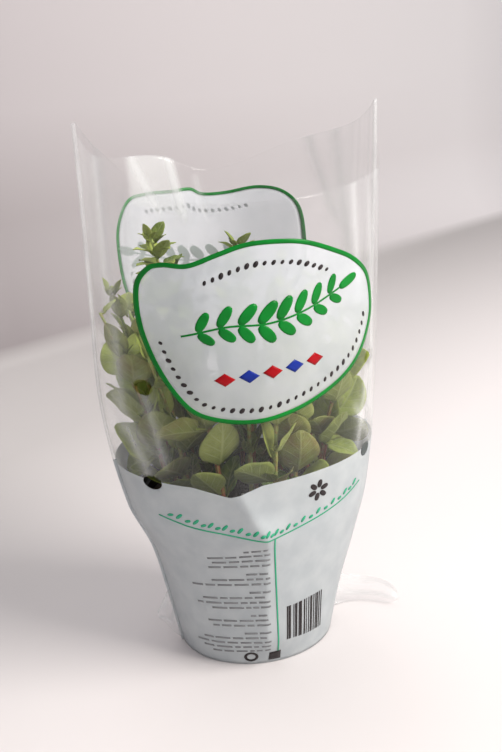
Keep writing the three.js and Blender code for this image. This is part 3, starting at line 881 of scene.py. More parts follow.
@dataclass(frozen=True)
class SleeveForm:
    """The sleeve's form: an oval at each height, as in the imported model, with its folds."""

    heights: tuple[float, ...] = (0, 30, 64, 92, 150, 210, 262, 302)
    left: tuple[float, ...] = (-43.8, -48.8, -55.5, -66.5, -75.5, -74.8, -73.5, -73)
    right: tuple[float, ...] = (45.5, 52.5, 63.5, 71.5, 79.5, 83.5, 87, 89)
    front: tuple[float, ...] = (42.9, 48.4, 55, 60.9, 71, 75.5, 76.5, 77)
    back: tuple[float, ...] = (42.9, 48.4, 55.2, 61.1, 74, 80, 83, 84)
    point: tuple[float, ...] = (0.5, 0.5, 0.5, 0.5, 0.56, 0.6, 0.62, 0.62)
    edge_turns: tuple[float, ...] = (0, 18, 50, 84, 108, 145, 180, 205, 232, 270, 315, 350, 360)
    edge_heights: tuple[float, ...] = (301, 289, 279, 265, 276, 281, 301, 288, 266, 261, 266, 275, 301)
    # The last column of each fold is its haze, partly stress whitening and partly painted highlight.
    front_creases: Table = (
        (-27, 132, -5, 84, 5.6, 16, 0.0), (-6, 92, -6, 8, 6.2, 20, 0.0),
        (-24, 116, -6, 84, 0.9, 3.5, 0.0), (-24, 116, -46, 92, 0.7, 4, 0.0),
        (-58, 268, -61, 205, 1.1, 5, 0.35), (-66, 292, -69, 150, 0.9, 3, 0.5),
        (-60, 176, -52, 128, 1.2, 5, 0.4), (-68, 150, -58, 116, 0.8, 3, 0.5),
        (50, 300, 53, 205, 1.2, 5, 0.4), (63, 262, 66, 130, 1.0, 4, 0.35),
        (72, 292, 74, 200, 0.7, 3, 0.5), (61, 168, 52, 122, 0.9, 4, 0.45),
        (-75, 170, -57, 134, 0.4, 4, 0.3), (-75, 160, -58, 126, 0.3, 4, 0.2),
        (50, 148, 72, 108, 0.4, 4, 0.4), (62, 150, 75, 114, 0.3, 4, 0.3),
        (6, 58, 20, 12, 0.5, 5, 0.0), (-40, 62, -30, 8, 0.5, 4, 0.0),
    )
    back_creases: Table = (
        (-12.9, 275, -6.3, 236, -1.6, 7, 0.6), (-38, 281, -20, 240, 1.0, 6, 0.5),
        (4.4, 262, 8.9, 235, 1.3, 4, 0.3), (66, 288, 76, 232, 1.2, 5, 0.5),
        (-60, 290, -64, 170, 1.0, 4, 0.4), (78, 300, 80, 150, 0.9, 4, 0.45),
        (-20, 120, 10, 62, 0.6, 6, 0.0), (30, 118, 22, 40, 0.6, 6, 0.0),
    )

    def creases(self, panel: Panel) -> list[Crease]:
        """Lists a panel's folds, given as x and height at both ends, height, width and haze; the haze is
        partly stress whitening and partly painted highlight.
        """
        rows = self.front_creases if panel is Panel.FRONT else self.back_creases
        return [Crease((x0, z0), (x1, z1), *shape) for x0, z0, x1, z1, *shape in rows]

    def oval(self, z: Array) -> tuple[Array, Array, Array, Array, Array]:
        """Gives the oval at each height.

        Args:
            z: Heights.

        Returns:
            The middle, half width, front depth, back depth and pointedness.
        """
        sides = (self.left, self.right, self.front, self.back, self.point)
        left, right, front, back, point = (along_stations(self.heights, side, z) for side in sides)
        return (left + right) / 2, (right - left) / 2, front, back, point

    def top(self, turn: Array | float) -> Array:
        """Gives the height of the top edge at each angle round the sleeve."""
        return along_stations(self.edge_turns, self.edge_heights, np.degrees(turn) % 360)

    def holds(self, points: Array, gap: float) -> Array:
        """Tells which points lie inside the sleeve, clear of the film by the gap."""
        middle, half, front, back, point = self.oval(points[:, 2])
        across = (points[:, 0] - middle) / (half - gap)
        depth = np.where(points[:, 1] < 0, front, back)
        room = np.clip(1 - across**2, 0, None) ** point
        return (np.abs(across) < 1) & (np.abs(points[:, 1]) < (depth - gap) * room)

    def fold(self, panel: Panel, x: Array, z: Array) -> Array:
        """Gives how far a panel's folds and slack stand out from its oval."""
        middle, half, *_ = self.oval(z)
        across = np.clip(np.abs((x - middle) / half), 0, 1)
        slack = smooth_step(104, 165, z)
        wave = 0.7 * np.sin(0.062 * x + 0.021 * z + panel.value) + 0.5 * np.sin(0.13 * x - 0.03 * z)
        depth = slack * wave
        for crease in self.creases(panel):
            depth = depth + crease.height * crease.share(x, z, crease.width)
        return depth * (1 - smooth_step(0.82, 1.0, across))

    def on_panel(self, panel: Panel, x: Array, z: Array) -> Array:
        """Gives the points of a panel above each x and height."""
        middle, half, front, back, point = self.oval(z)
        across = np.clip((x - middle) / half, -1, 1)
        depth = front if panel is Panel.FRONT else back
        y = depth * (1 - across**2) ** point + self.fold(panel, x, z)
        return abreast(x, panel.value * y, z)

    def outward(self, panel: Panel, x: Array, z: Array) -> Array:
        """Gives the directions straight out of a panel."""
        step = 0.4
        side = self.on_panel(panel, x + step, z) - self.on_panel(panel, x - step, z)
        rise = self.on_panel(panel, x, z + step) - self.on_panel(panel, x, z - step)
        return unit(np.cross(side, rise) * -panel.value)

    def raised(self, panel: Panel, outline: Array, lift: float) -> Array:
        """Lays flat x and height points onto a panel, a little above the film."""
        x, z = outline[..., 0], outline[..., 1]
        return self.on_panel(panel, x, z) + lift * self.outward(panel, x, z)


# ---------- the plant's layout


@dataclass(frozen=True)
class Stem:
    """A stem: its place on the soil, its lean, its height and the turn of its leaf pairs."""

    x: float
    y: float
    lean_x: float
    lean_y: float
    height: float
    twist: float

    def point(self, height: Array | float, soil_top: float) -> Array:
        """Gives the point of the stem's axis at each height above the soil."""
        height = np.asarray(height, float)
        lean = (np.maximum(height, 0) / self.height) ** 1.5
        return np.stack(
            [self.x + self.lean_x * lean, self.y + self.lean_y * lean, soil_top + height], axis=-1
        )


@dataclass(frozen=True)
class Leaf:
    """A leaf: where it leaves its stem, which way it goes and how it bends and rolls."""

    root: Triple
    turn: float
    rise: float
    bend: float
    roll: float
    length: float
    width: float
    share: float
    fold: float = math.radians(17)
    root_offset: float = 0.25
    petiole_share: float = 0.1
    petiole_standoff: float = 1.7
    root_power: float = 0.45
    tip_power: float = 0.75
    outline_scale: float = 2.21

    def blade_half_width(self, along: Array) -> Array:
        """Gives the blade's half width along the leaf; it is 0 along the petiole."""
        share = np.clip((along - self.petiole_share) / (1 - self.petiole_share), 0, 1)
        outline = share**self.root_power * (1 - share) ** self.tip_power
        return 0.5 * self.width * self.outline_scale * outline

    def frame_at(self, along: Array) -> tuple[Array, Array, Array]:
        """Gives the rib's points, and the directions left of it and out of its face."""
        slope = self.rise - self.bend * along
        radius = self.length / self.bend
        standoff = self.petiole_standoff * np.minimum(along / self.petiole_share, 1)
        reach = radius * (math.sin(self.rise) - np.sin(slope)) + self.root_offset + standoff
        climb = radius * (np.cos(slope) - math.cos(self.rise))
        out = np.array([math.cos(self.turn), math.sin(self.turn), 0.0])
        left = np.array([-out[1], out[0], 0.0])
        up = np.array([0.0, 0.0, 1.0])
        normal = -np.sin(slope)[..., None] * out + np.cos(slope)[..., None] * up
        rolled_left = left * math.cos(self.roll) + normal * math.sin(self.roll)
        rolled_normal = normal * math.cos(self.roll) - left * math.sin(self.roll)
        rib = np.array(self.root) + reach[..., None] * out + climb[..., None] * up
        return rib, rolled_left, rolled_normal

    def points(self, along: Array, across: Array, half: Array, lift: Array | float = 0.0) -> Array:
        """Gives points of the folded blade.

        Args:
            along: Shares of the way from root to tip.
            across: Shares of the way from the rib to an edge, left of it above 0.
            half: The blade's half width there.
            lift: Height above the blade's face.

        Returns:
            The points, one row each.
        """
        rib, left, normal = self.frame_at(along)
        side = half * across
        rise = np.abs(side) * math.sin(self.fold) + lift
        return rib + left * (side * math.cos(self.fold))[..., None] + normal * rise[..., None]


class SeededDraw:
    """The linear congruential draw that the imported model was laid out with."""

    def __init__(self, seed: int) -> None:
        """Starts the draw from its seed."""
        self.state = seed

    def __call__(self, low: float, high: float) -> float:
        """Gives the next number between low and high."""
        self.state = (self.state * 1664525 + 1013904223) % 4294967296
        return low + (high - low) * (self.state / 4294967296)


@dataclass
class PlantLayout:
    """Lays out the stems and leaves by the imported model's rule, with the same draws."""

    form: SleeveForm
    seed: int = 16
    soil_top: float = 88
    stem_count: int = 24
    bed_radius: float = 47
    crowding: float = 0.32
    outer_height: float = 106
    inner_height: float = 112
    height_spread: float = 15
    stem_turn_spread: float = 0.12
    seam_lean: float = 31
    panel_lean: float = 20
    lean_spread: float = 5
    lead_clearance: float = 7
    leads: tuple[Stem, ...] = (Stem(-20, 2, -20, -2, 151, 0.4), Stem(5, -8, 0, 2, 143, 0.9))
    first_pair: float = 12
    pair_spacing: float = 24
    tip_spacing: float = 12
    leaf_length: float = 32
    width_ratio: float = 0.8
    size_at_ends: float = 0.82
    size_gain: float = 0.18
    tip_taper: float = 0.6
    length_spread: Pair = (0.84, 1.08)
    turn_spread: float = 0.12
    low_rise: float = 0.45
    rise_gain: float = 0.6
    rise_spread: Pair = (-0.2, 0.3)
    steepest_rise: float = 1.45
    tip_bend: float = 0.25
    bend_gain: float = 0.55
    bend_spread: float = 0.2
    least_bend: float = 0.05
    roll_spread: float = 0.45
    film_press: float = 0.2
    film_flatten: float = 0.3
    tries: int = 24
    try_shrink: float = 0.015
    try_turn: float = 0.5
    try_steepen: float = 0.07
    try_straighten: float = 0.07
    front_leaves: Table = (
        (10, 33, 31, -80, 52, -36, 4), (13, 20, 31, -88, 52, -36, -4), (10, 54, 27, 178, 8, 14, 55),
        (15, 22, 29, -128, 30, 4, 35), (5, 22, 27, -158, 34, 6, 48), (8, 30, 28, -62, 44, -20, 8),
        (5, 40, 22, -52, 50, -12, 20), (10, 16, 24, -150, 44, -6, 40), (8, 54, 25, -75, 52, -20, 0),
        (13, 48, 24, -110, 55, -20, 0), (15, 44, 26, -140, 45, -20, 10),
    )
    side_leaves: Table = (
        (7, 50, 29, 145, 52, 35, 70), (7, 31, 31, -178, 36, -20, -36), (3, 38, 27, -4, 40, -32, 72),
        (3, 29, 29, -62, 6, -36, -62), (16, 66, 29, -47, 22, -8, 57), (7, 80, 22, 128, 50, 4, -52),
        (7, 30, 29, 128, -9, 36, -53), (8, 30, 20, -47, 2, 24, 5),
    )
    sample_rows: int = 9
    sample_columns: int = 7
    sample_start: float = 0.16
    leaf_gap: float = 2.2
    own_leaf_gap: float = 1.4
    stem_gap: float = 2.6
    mark_spacing: float = 3
    film_gap: float = 1.6
    soil_clearance: float = 4.5
    stems: list[Stem] = field(default_factory=list)
    leaves: list[list[Leaf]] = field(default_factory=list)
    marks: list[Array] = field(default_factory=list)
    kept: list[Array] = field(default_factory=list)

    def grow(self) -> None:
        """Lays out the stems, the front leaves, the pairs and the leaves in the side pockets."""
        draw = SeededDraw(self.seed)
        self.stems = self.plant(draw)
        self.leaves = [[] for _ in self.stems]
        self.kept = [np.zeros((0, 3)) for _ in self.stems]
        self.marks = [
            stem.point(self.mark_spacing * np.arange(int(stem.height / self.mark_spacing)), self.soil_top)
            for stem in self.stems
        ]
        self.place_listed(self.front_leaves)
        self.pair_leaves(draw)
        self.place_listed(self.side_leaves)
        LOG.info("%d stems, %d leaves", len(self.stems), sum(map(len, self.leaves)))

    def plant(self, draw: SeededDraw) -> list[Stem]:
        """Places the lead shoots and then the others on a sunflower spiral."""
        stems = list(self.leads)
        for i in range(self.stem_count):
            reach = (1 - (i + 0.5) / self.stem_count) ** self.crowding
            turn = i * GOLDEN_ANGLE + draw(-self.stem_turn_spread, self.stem_turn_spread)
            x = self.bed_radius * reach * math.cos(turn)
            y = self.bed_radius * reach * math.sin(turn)
            tall = self.inner_height + (self.outer_height - self.inner_height) * reach
            lean_x = self.seam_lean * reach * math.cos(turn) + draw(-self.lean_spread, self.lean_spread)
            lean_y = self.panel_lean * reach * math.sin(turn) + draw(-self.lean_spread, self.lean_spread)
            height = tall + draw(-self.height_spread, self.height_spread)
            if all(math.hypot(lead.x - x, lead.y - y) > self.lead_clearance for lead in self.leads):
                stems.append(Stem(x, y, lean_x, lean_y, height, turn))
        return stems

    def pair_heights(self, stem: Stem) -> list[float]:
        """Gives the heights of a stem's leaf pairs, closer together towards its tip."""
        heights = []
        height = self.first_pair
        while height < stem.height - self.tip_spacing * 0.6:
            heights.append(height)
            share = height / stem.height
            height += self.pair_spacing + (self.tip_spacing - self.pair_spacing) * share
        return [*heights, stem.height - 1]

    def draft(self, stem: Stem, height: float, turn: float, draw: SeededDraw, attempt: int) -> Leaf:
        """Makes one try at a leaf; later tries are smaller, more turned, steeper, straighter.

        Args:
            stem: The stem that bears it.
            height: Its height above the soil.
            turn: The way it points.
            draw: The seeded draw.
            attempt: The number of the try.

        Returns:
            The leaf, which may not fit.
        """
        share = height / stem.height
        size = self.size_at_ends + self.size_gain * math.sin(math.pi * share)
        size *= 1 - self.tip_taper * share**3
        length = self.leaf_length * size * draw(*self.length_spread)
        length *= 1 - self.try_shrink * attempt
        turned = turn + draw(-self.turn_spread, self.turn_spread) * (1 + self.try_turn * attempt)
        root = tuple(stem.point(height, self.soil_top))
        towards_film = max(math.cos(turned - math.atan2(root[1], root[0])), 0)
        towards_film *= min(math.hypot(root[0], root[1]) / self.bed_radius, 1)
        rise = self.low_rise + self.rise_gain * share + self.film_press * towards_film
        rise = min(rise + draw(*self.rise_spread) + self.try_steepen * attempt, self.steepest_rise)
        arch = (self.tip_bend + self.bend_gain * (1 - share)) * (1 - self.film_flatten * towards_film)
        bend = (arch + draw(0, self.bend_spread)) * (1 - self.try_straighten * attempt)
        bend = max(bend, self.least_bend)
        roll = draw(-self.roll_spread, self.roll_spread)
        return Leaf(root, turned, rise, bend, roll, length, length * self.width_ratio, share)

    def samples(self, leaf: Leaf) -> Array:
        """Gives the points that stand for a leaf where its clearance is tested."""
        middle = (self.sample_columns - 1) / 2
        rows = np.linspace(self.sample_start, 1, self.sample_rows)
        columns = np.arange(-middle, middle + 1) / middle
        along, across = (grid.ravel() for grid in np.meshgrid(rows, columns, indexing="ij"))
        return leaf.points(along, across, leaf.blade_half_width(along))

    def clear(self, samples: Array, others: Array, gap: float) -> bool:
        """Tells whether every sample keeps its gap to the others."""
        low, high = samples.min(0) - gap, samples.max(0) + gap
        near = others[((others >= low) & (others <= high)).all(1)]
        if not len(near):
            return True
        return bool((np.linalg.norm(samples[:, None] - near[None], axis=2) > gap).all())

    def place(self, leaf: Leaf, owner: int) -> bool:
        """Keeps a leaf if it fits in the sleeve, above the soil and clear of the rest.

        Args:
            leaf: The leaf to try.
            owner: The number of its stem.

        Returns:
            Whether it was kept.
        """
        samples = self.samples(leaf)
        fits = bool(
            self.form.holds(samples, self.film_gap).all()
            and (samples[:, 2] > self.soil_top + self.soil_clearance).all()
            and all(i == owner or self.clear(samples, m, self.stem_gap) for i, m in enumerate(self.marks))
            and all(
                self.clear(samples, m, self.own_leaf_gap if i == owner else self.leaf_gap)
                for i, m in enumerate(self.kept)
            )
        )
        if fits:
            self.leaves[owner].append(leaf)
            self.kept[owner] = np.concatenate([self.kept[owner], samples])
        return fits

    def place_listed(self, leaves: Table) -> None:
        """Places leaves that are pressed against the film.

        Args:
            leaves: For each its stem's number, the height up it, its length, and its turn,
                rise, bend and roll in degrees.
        """
        for number, height, length, *angles in leaves:
            stem = self.stems[number - 1]
            root = tuple(stem.point(height, self.soil_top))
            width = length * self.width_ratio
            leaf = Leaf(root, *map(math.radians, angles), length, width, height / stem.height)
            self.place(leaf, number - 1)

    def pair_leaves(self, draw: SeededDraw) -> None:
        """Places the opposite pairs of every stem, each across the one below."""
        for owner, stem in enumerate(self.stems):
            for level, height in enumerate(self.pair_heights(stem)):
                for side in (0, math.pi):
                    turn = (level % 2) * (math.pi / 2) + side + stem.twist
                    for attempt in range(self.tries):
                        if self.place(self.draft(stem, height, turn, draw, attempt), owner):
                            break


# ---------- stems and leaves


@dataclass
class LeafyStems:
    """The fine stems and leaves, one piece for each packed stem."""

    layout: PlantLayout
    blade_thickness: float = 0.28
    petiole_radius: float = 0.55
    stalk_radius: float = 1.35
    stalk_tip_radius: float = 0.7
    stalk_sides: int = 12
    root_depth: float = 11.6
    bud_width: float = 0.62
    bract_width: float = 0.68
    bract_lengths: Pair = (5.5, 12)
    axil_reach: float = 0.9
    axil_gaps: float = 0.1
    # how far out from the middle inner leaves get painted shade
    painted_shade_radius: float = 62
    tip_rings: tuple[tuple[float, int, float, float], ...] = (
        (0.6, 2, 7.0, 0.95), (0.1, 2, 5.2, 1.2), (-0.4, 2, 3.6, 1.4),
    )
    lead_rings: tuple[tuple[float, int, float, float], ...] = (
        (3, 2, 10.5, 0.8), (8, 4, 12.5, 0.55), (15, 4, 14, 0.45), (21, 2, 15, 0.5),
    )
    hair_density: float = 0.35
    seed: int = 7

    def outline(self, leaf: Leaf, along: Array) -> Array:
        """Gives the fine leaf's half width: a slim petiole and then the blade."""
        petiole = self.petiole_radius * min(leaf.length / 20, 1)
        petiole = petiole * (1 - smooth_step(0.1, 0.3, along))
        return np.maximum(leaf.blade_half_width(along), petiole)

    def add_leaf(self, draft: Draft, leaf: Leaf, rng: Rng) -> None:
        """Adds one fine leaf to a draft.

        Args:
            draft: The stem's mesh so far.
            leaf: The leaf as laid out.
            rng: The draw for its waves and colour.
        """
        steps = 15 if leaf.length > 12 else 9
        columns = 9 if leaf.length > 12 else 7
        ease = np.linspace(0, 1, steps)
        along = 0.985 * ease**1.15
        across = np.linspace(-1, 1, columns)
        a, c = np.meshgrid(along, across, indexing="ij")
        half = np.broadcast_to(self.outline(leaf, along)[:, None], a.shape)
        wave, phase = leaf.length * rng.uniform(0.006, 0.02), rng.uniform(0, 6.3, 2)
        fringe = wave * np.abs(c) ** 2 * np.sin(2 * math.pi * 2.2 * a + phase[0] + np.sign(c) * phase[1])
        curl = -rng.uniform(0.02, 0.12) * half * np.abs(c) ** 4
        twist = rng.uniform(-0.12, 0.12) * half * c * a
        trough = -0.1 * half * (np.abs(c) * (1 - np.abs(c)))
        sheet = 0.55 * self.petiole_radius * (1 - smooth_step(0.06, 0.24, a)) + self.blade_thickness / 2
        shape = smooth_step(0.08, 0.3, a) * (fringe + curl + twist + trough)
        rounded = np.sqrt(np.clip(1 - 0.86 * c**2, 0, 1))
        upper = leaf.points(a, c, half, shape + sheet * rounded).reshape(-1, 3)
        # Painted shade: a leaf whose middle lies near the plant's middle gets a darker, more mature colour,
        # standing in for the shade inside the foliage.
        painted_shade = 1 - smooth_step(0.5, 0.85, float(np.hypot(*upper.mean(0)[:2])) / self.painted_shade_radius)
        age = 0.4 * (1 - leaf.share) + 0.6 * painted_shade + rng.uniform(-0.25, 0.25)
        age = float(np.clip(age, 0, 1))
        blush = float(np.clip(rng.uniform(-1.0, 0.7) * (1.1 - leaf.share), 0, 0.5))
        lower = leaf.points(a, c, half, shape - sheet * rounded).reshape(-1, 3)
        uv = abreast((c + 1) / 2, a).reshape(-1, 2)
        count = steps * columns
        faces = grid_faces(steps, columns, flip=True)
        under = [[i + count for i in face[::-1]] for face in faces]
        index = np.arange(count).reshape(steps, columns)
        edge = [index[:, 0], index[-1, 1:], index[-2::-1, -1], index[0, -2:0:-1]]
        edge = np.concatenate(edge).tolist()
        rim = [[p, p + count, q + count, q] for p, q in zip(edge, edge[1:] + edge[:1])]
        slots = [0] * len(faces) + [1] * (len(under) + len(rim))
        draft.add(
            np.concatenate([upper, lower]), faces + under + rim, slots,
            np.concatenate([uv, uv]), np.array([age, blush]),
        )

    def add_stalk(self, draft: Draft, stem: Stem, rng: Rng) -> None:
        """Adds the square stalk, thicker at each pair of leaves.

        Args:
            draft: The stem's mesh so far.
            stem: The stem as laid out.
            rng: The draw for its colour.
        """
        heights = np.concatenate([[-self.root_depth], np.linspace(0, stem.height, 30)])
        knots = np.array(self.layout.pair_heights(stem))
        swell = 1 + 0.22 * np.exp(-(((heights[:, None] - knots) / 1.6) ** 2)).sum(1)
        share = np.clip(heights / stem.height, 0, 1)
        radius = (self.stalk_radius + (self.stalk_tip_radius - self.stalk_radius) * share) * swell * 0.92
        turn = turns(self.stalk_sides)
        square = 1 + 0.12 * np.cos(4 * turn)
        angle = turn + stem.twist
        ring = abreast(square * np.cos(angle), square * np.sin(angle), 0.0)
        axis = stem.point(heights, self.layout.soil_top)
        points = axis[:, None] + radius[:, None, None] * ring[None]
        redness = np.clip(rng.uniform(0.15, 1.0) * (1.25 - 1.1 * share), 0, 1)
        tone = np.repeat(abreast(share, redness), self.stalk_sides, axis=0)
        draft.add(points, tube_faces(len(heights), self.stalk_sides), 2, tone=tone)

    def add_tip(self, draft: Draft, stem: Stem, rng: Rng) -> None:
        """Adds the cluster of unopened leaves at a stem's tip, and more below a lead shoot's."""
        rings = self.tip_rings + (self.lead_rings if stem in self.layout.leads else ())
        for ring, (drop, count, length, rise) in enumerate(rings):
            for k in range(count):
                turn = stem.twist + ring * math.pi / 2 + k * 2 * math.pi / count + rng.uniform(-0.2, 0.2)
                root = tuple(stem.point(stem.height - drop, self.layout.soil_top))
                bend = 0.4 + 0.3 * rng.random()
                bud = Leaf(root, turn, rise, bend, 0.0, length, length * self.bud_width, 1.0)
                self.add_small(draft, bud, rng)

    def add_axils(self, draft: Draft, stem: Stem, leaves: list[Leaf], rng: Rng) -> None:
        """Adds the small side shoots that sit between a leaf and its stem."""
        for leaf in leaves:
            if leaf.share > self.axil_reach or rng.random() < self.axil_gaps:
                continue
            length = rng.uniform(*self.bract_lengths)
            for side in (-1, 1):
                turn = leaf.turn + side * rng.uniform(0.45, 0.9)
                rise = min(leaf.rise + rng.uniform(0.25, 0.5), 1.4)
                root = tuple(np.array(leaf.root) + [0, 0, 0.8])
                bract = Leaf(root, turn, rise, 0.5, 0.0, length, length * self.bract_width, 0.85)
                self.add_small(draft, bract, rng)

    def add_small(self, draft: Draft, leaf: Leaf, rng: Rng) -> None:
        """Adds a small leaf if it lies inside the sleeve."""
        if self.layout.form.holds(self.layout.samples(leaf), self.layout.film_gap).all():
            self.add_leaf(draft, leaf, rng)

    def build(self) -> None:
        """Builds every stem's piece and the hairs on all of them."""
        skins = [
            LeafSkin("leaf_upper_face", 0.62).build(),
            LeafSkin(
                "leaf_under_face", 0.7, Face.UNDER, "#A3AC5E", "#71823F", "#B8C080", "#8B5E4C"
            ).build(),
            StalkSkin("stalk_skin", 0.6).build(),
        ]
        stalks = Draft()
        for i, (stem, leaves) in enumerate(zip(self.layout.stems, self.layout.leaves), start=1):
            rng = np.random.default_rng(self.seed + i)
            draft = Draft()
            self.add_stalk(draft, stem, rng)
            for leaf in leaves:
                self.add_leaf(draft, leaf, rng)
            self.add_axils(draft, stem, leaves, rng)
            self.add_tip(draft, stem, rng)
            fitted(draft.build(f"oregano_stem_{i:02d}", skins), (f"stem_{i:02d}",))
            self.add_stalk(stalks, stem, rng)
        self.add_hairs(stalks.build("stem_hairs", skins[2:] * 3), skins[2])

    def add_hairs(self, stalks: Piece, skin: Material) -> None:
        """Strews short hairs over the stalks, coarser than life so that they can be seen.

        Args:
            stalks: A copy of all stalks, which becomes the piece of hairs.
            skin: The hairs' material.
        """
        hair = Draft()
        points = np.concatenate([circle(3, 0.055), [[0.15, 0.0, 1.0]]])
        hair.add(points, [[2, 1, 0], [0, 1, 3], [1, 2, 3], [2, 0, 3]], tone=0.2)
        source = hair.build("hair_source", [skin])
        scatter_tree().run(
            stalks, Object=source, Material=skin, Density=self.hair_density / MM**2,
            Smallest=0.5, Largest=1.1, Tilt=0.12, Seed=11,
        )
        bpy.data.objects.remove(source)
        fitted(stalks)


# ---------- the pot and compost


@dataclass
class Pot:
    """The thin moulded pot with its collar, drain holes and fine ribs."""

    height: float = 98
    base_radius: float = 42
    neck_radius: float = 57.7
    rim_radius: float = 60
    rim_height: float = 6
    wall: float = 1
    floor: float = 1.2
    sides: int = 108
    drain_holes: int = 8
    drain_radius: float = 4
    drain_ring: float = 31
    rib_count: int = 36
    rib_height: float = 0.3
    rib_span: Pair = (5.0, 84.0)

    def outer(self, z: float) -> float:
        """Gives the outer radius at a height below the collar."""
        collar = self.height - self.rim_height
        return self.base_radius + (self.neck_radius - self.base_radius) * z / collar

    def profile(self) -> Path2D:
        """Gives the wall's closed section as radius and height, with its rounded edges."""
        collar = self.height - self.rim_height
        lip = self.rim_radius - self.wall
        return [
            (0.4, 0), (self.base_radius - 1.2, 0), (self.base_radius - 0.3, 0.3),
            (self.outer(1.2), 1.2), (self.outer(30), 30), (self.outer(60), 60),
            (self.neck_radius, collar), (self.rim_radius - 0.3, collar), (self.rim_radius, collar + 0.4),
            (self.rim_radius, self.height - 0.4), (self.rim_radius - 0.3, self.height),
            (lip + 0.3, self.height), (lip, self.height - 0.3), (lip, collar + self.wall + 0.3),
            (lip - 0.3, collar + self.wall), (self.neck_radius - self.wall, collar + self.wall),
            (self.outer(60) - self.wall, 60), (self.outer(30) - self.wall, 30),
            (self.outer(self.floor) - self.wall, self.floor), (0.4, self.floor),
        ]

    def build(self, plastic: Material) -> None:
        """Builds the pot's shell with its drain holes cut, and its ribs.

        Args:
            plastic: The pot's material.
        """
        rings = [circle(self.sides, radius) + [0, 0, z] for radius, z in self.profile()]
        pot = one_patch("pot_shell", [plastic], np.stack(rings), tube_faces(len(rings), self.sides))
        cut(pot, self.drill(plastic))
        pot.data.shade_smooth()
        pot.data.set_sharp_from_angle(angle=math.radians(35))
        fitted(pot, ("pot",))
        self.add_ribs(plastic)

    def drill(self, plastic: Material) -> Piece:
        """Makes the cylinders that the drain holes are cut with."""
        cutters = Draft()
        for spot in circle(self.drain_holes, self.drain_ring):
            ends = spot - [0, 0, 2], spot + [0, 0, self.floor + 2]
            add_rod(cutters, circle(24, self.drain_radius), *ends)
        return cutters.build("drain_drill", [plastic])

    def add_ribs(self, plastic: Material) -> None:
        """Sets the fine upright ribs round the outside of the wall."""
        section = ((-0.3, -0.5), (self.rib_height, -0.22), (self.rib_height, 0.22), (-0.3, 0.5))
        heights = np.linspace(*self.rib_span, 5)
        points = np.array([[(self.outer(z) + d, w, z) for d, w in section] for z in heights])
        source = one_patch("rib_source", [plastic], points, tube_faces(5, 4))
        ribs = one_patch("pot_ribs", [plastic], np.zeros((3, 3)), [[0, 1, 2]])
        ribs = ring_tree().run(ribs, Object=source, Material=plastic, Count=self.rib_count)
        bpy.data.objects.remove(source)
        fitted(ribs)


@dataclass
class Compost:
    """The peat plug that fills the pot, with crumbs and a little perlite on its top."""

    pot: Pot
    top: float = 88
    relief: float = 1.6
    gap: float = 0.35
    rings: int = 46
    sides: int = 144
    crumb_density: float = 0.085
    perlite_density: float = 0.004

    def height(self, x: Array, y: Array) -> Array:
        """Gives the top's height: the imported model's waves with finer crumbs over them."""
        waves = np.sin(0.31 * x + 0.9) * np.cos(0.27 * y) + np.sin(0.17 * (x - y))
        crumbs = np.sin(1.13 * x + 2 * np.sin(0.41 * y)) * np.sin(0.97 * y + 1.7 * np.sin(0.53 * x))
        inside = 1 - smooth_step(44, 52, np.hypot(x, y))
        return self.top + inside * (0.5 * self.relief * waves + 0.55 * crumbs)

    def build(self) -> None:
        """Builds the plug, its crumbs and its perlite."""
        peat = CompostSkin("peat_compost", 0.95).build()
        bottom = self.pot.floor + self.gap
        edge, foot = (self.pot.outer(z) - self.pot.wall - self.gap for z in (self.top, bottom))
        radii = [foot, *np.linspace(edge, 0.6, self.rings)]
        points = np.stack([circle(self.sides, radius) for radius in radii])
        points[0, :, 2] = bottom
        points[1:, :, 2] = self.height(points[1:, :, 0], points[1:, :, 1])
        plug = one_patch("compost_plug", [peat], points, tube_faces(len(radii), self.sides))
        soil = fitted(plug, ("soil",))
        self.strew(soil, "compost_crumbs", peat, self.crumb_density, (0.5, 1.9), 3)
        perlite = Ink("expanded_perlite", 0.9, "#E8E4DC", "#CFC8BC").build()
        self.strew(soil, "perlite_grains", perlite, self.perlite_density, (0.6, 1.3), 5)

    def strew(
        self, soil: Piece, name: str, skin: Material, density: float, sizes: Pair, seed: int
    ) -> None:
        """Strews lumps over the top of the plug.

        Args:
            soil: The plug.
            name: The new piece's name.
            skin: Its material.
            density: Lumps a square millimetre.
            sizes: The smallest and the largest lump's half width in millimetres.
            seed: The draw's seed.
        """
        lump = self.lump(skin, seed)
        points = np.array([v.co for v in soil.data.vertices]) / MM
        faces = [
            list(p.vertices) for p in soil.data.polygons
            if len(p.vertices) == 4 and p.normal.z > 0.3 and np.hypot(*points[p.vertices[0]][:2]) < 54
        ]
        strewn = scatter_tree().run(
            one_patch(name, [skin], points, faces), Object=lump, Material=skin,
            Density=density / MM**2, Smallest=sizes[0], Largest=sizes[1], Tilt=1.0, Seed=seed,
        )
        bpy.data.objects.remove(lump)
        fitted(strewn)

    def lump(self, skin: Material, seed: int) -> Piece:
        """Makes one rough lump a millimetre in half width, of a few dozen faces."""
        rng = np.random.default_rng(seed)
        rows, sides = 5, 8
        polar = np.linspace(0.25, math.pi - 0.25, rows)
        size = rng.uniform(0.7, 1.15, (rows, sides))[..., None]
        rings = [circle(sides, math.sin(angle)) + [0, 0, 0.75 * math.cos(angle)] for angle in polar]
        return one_patch("lump_source", [skin], size * np.stack(rings), tube_faces(rows, sides, True))


# ---------- the film sleeve


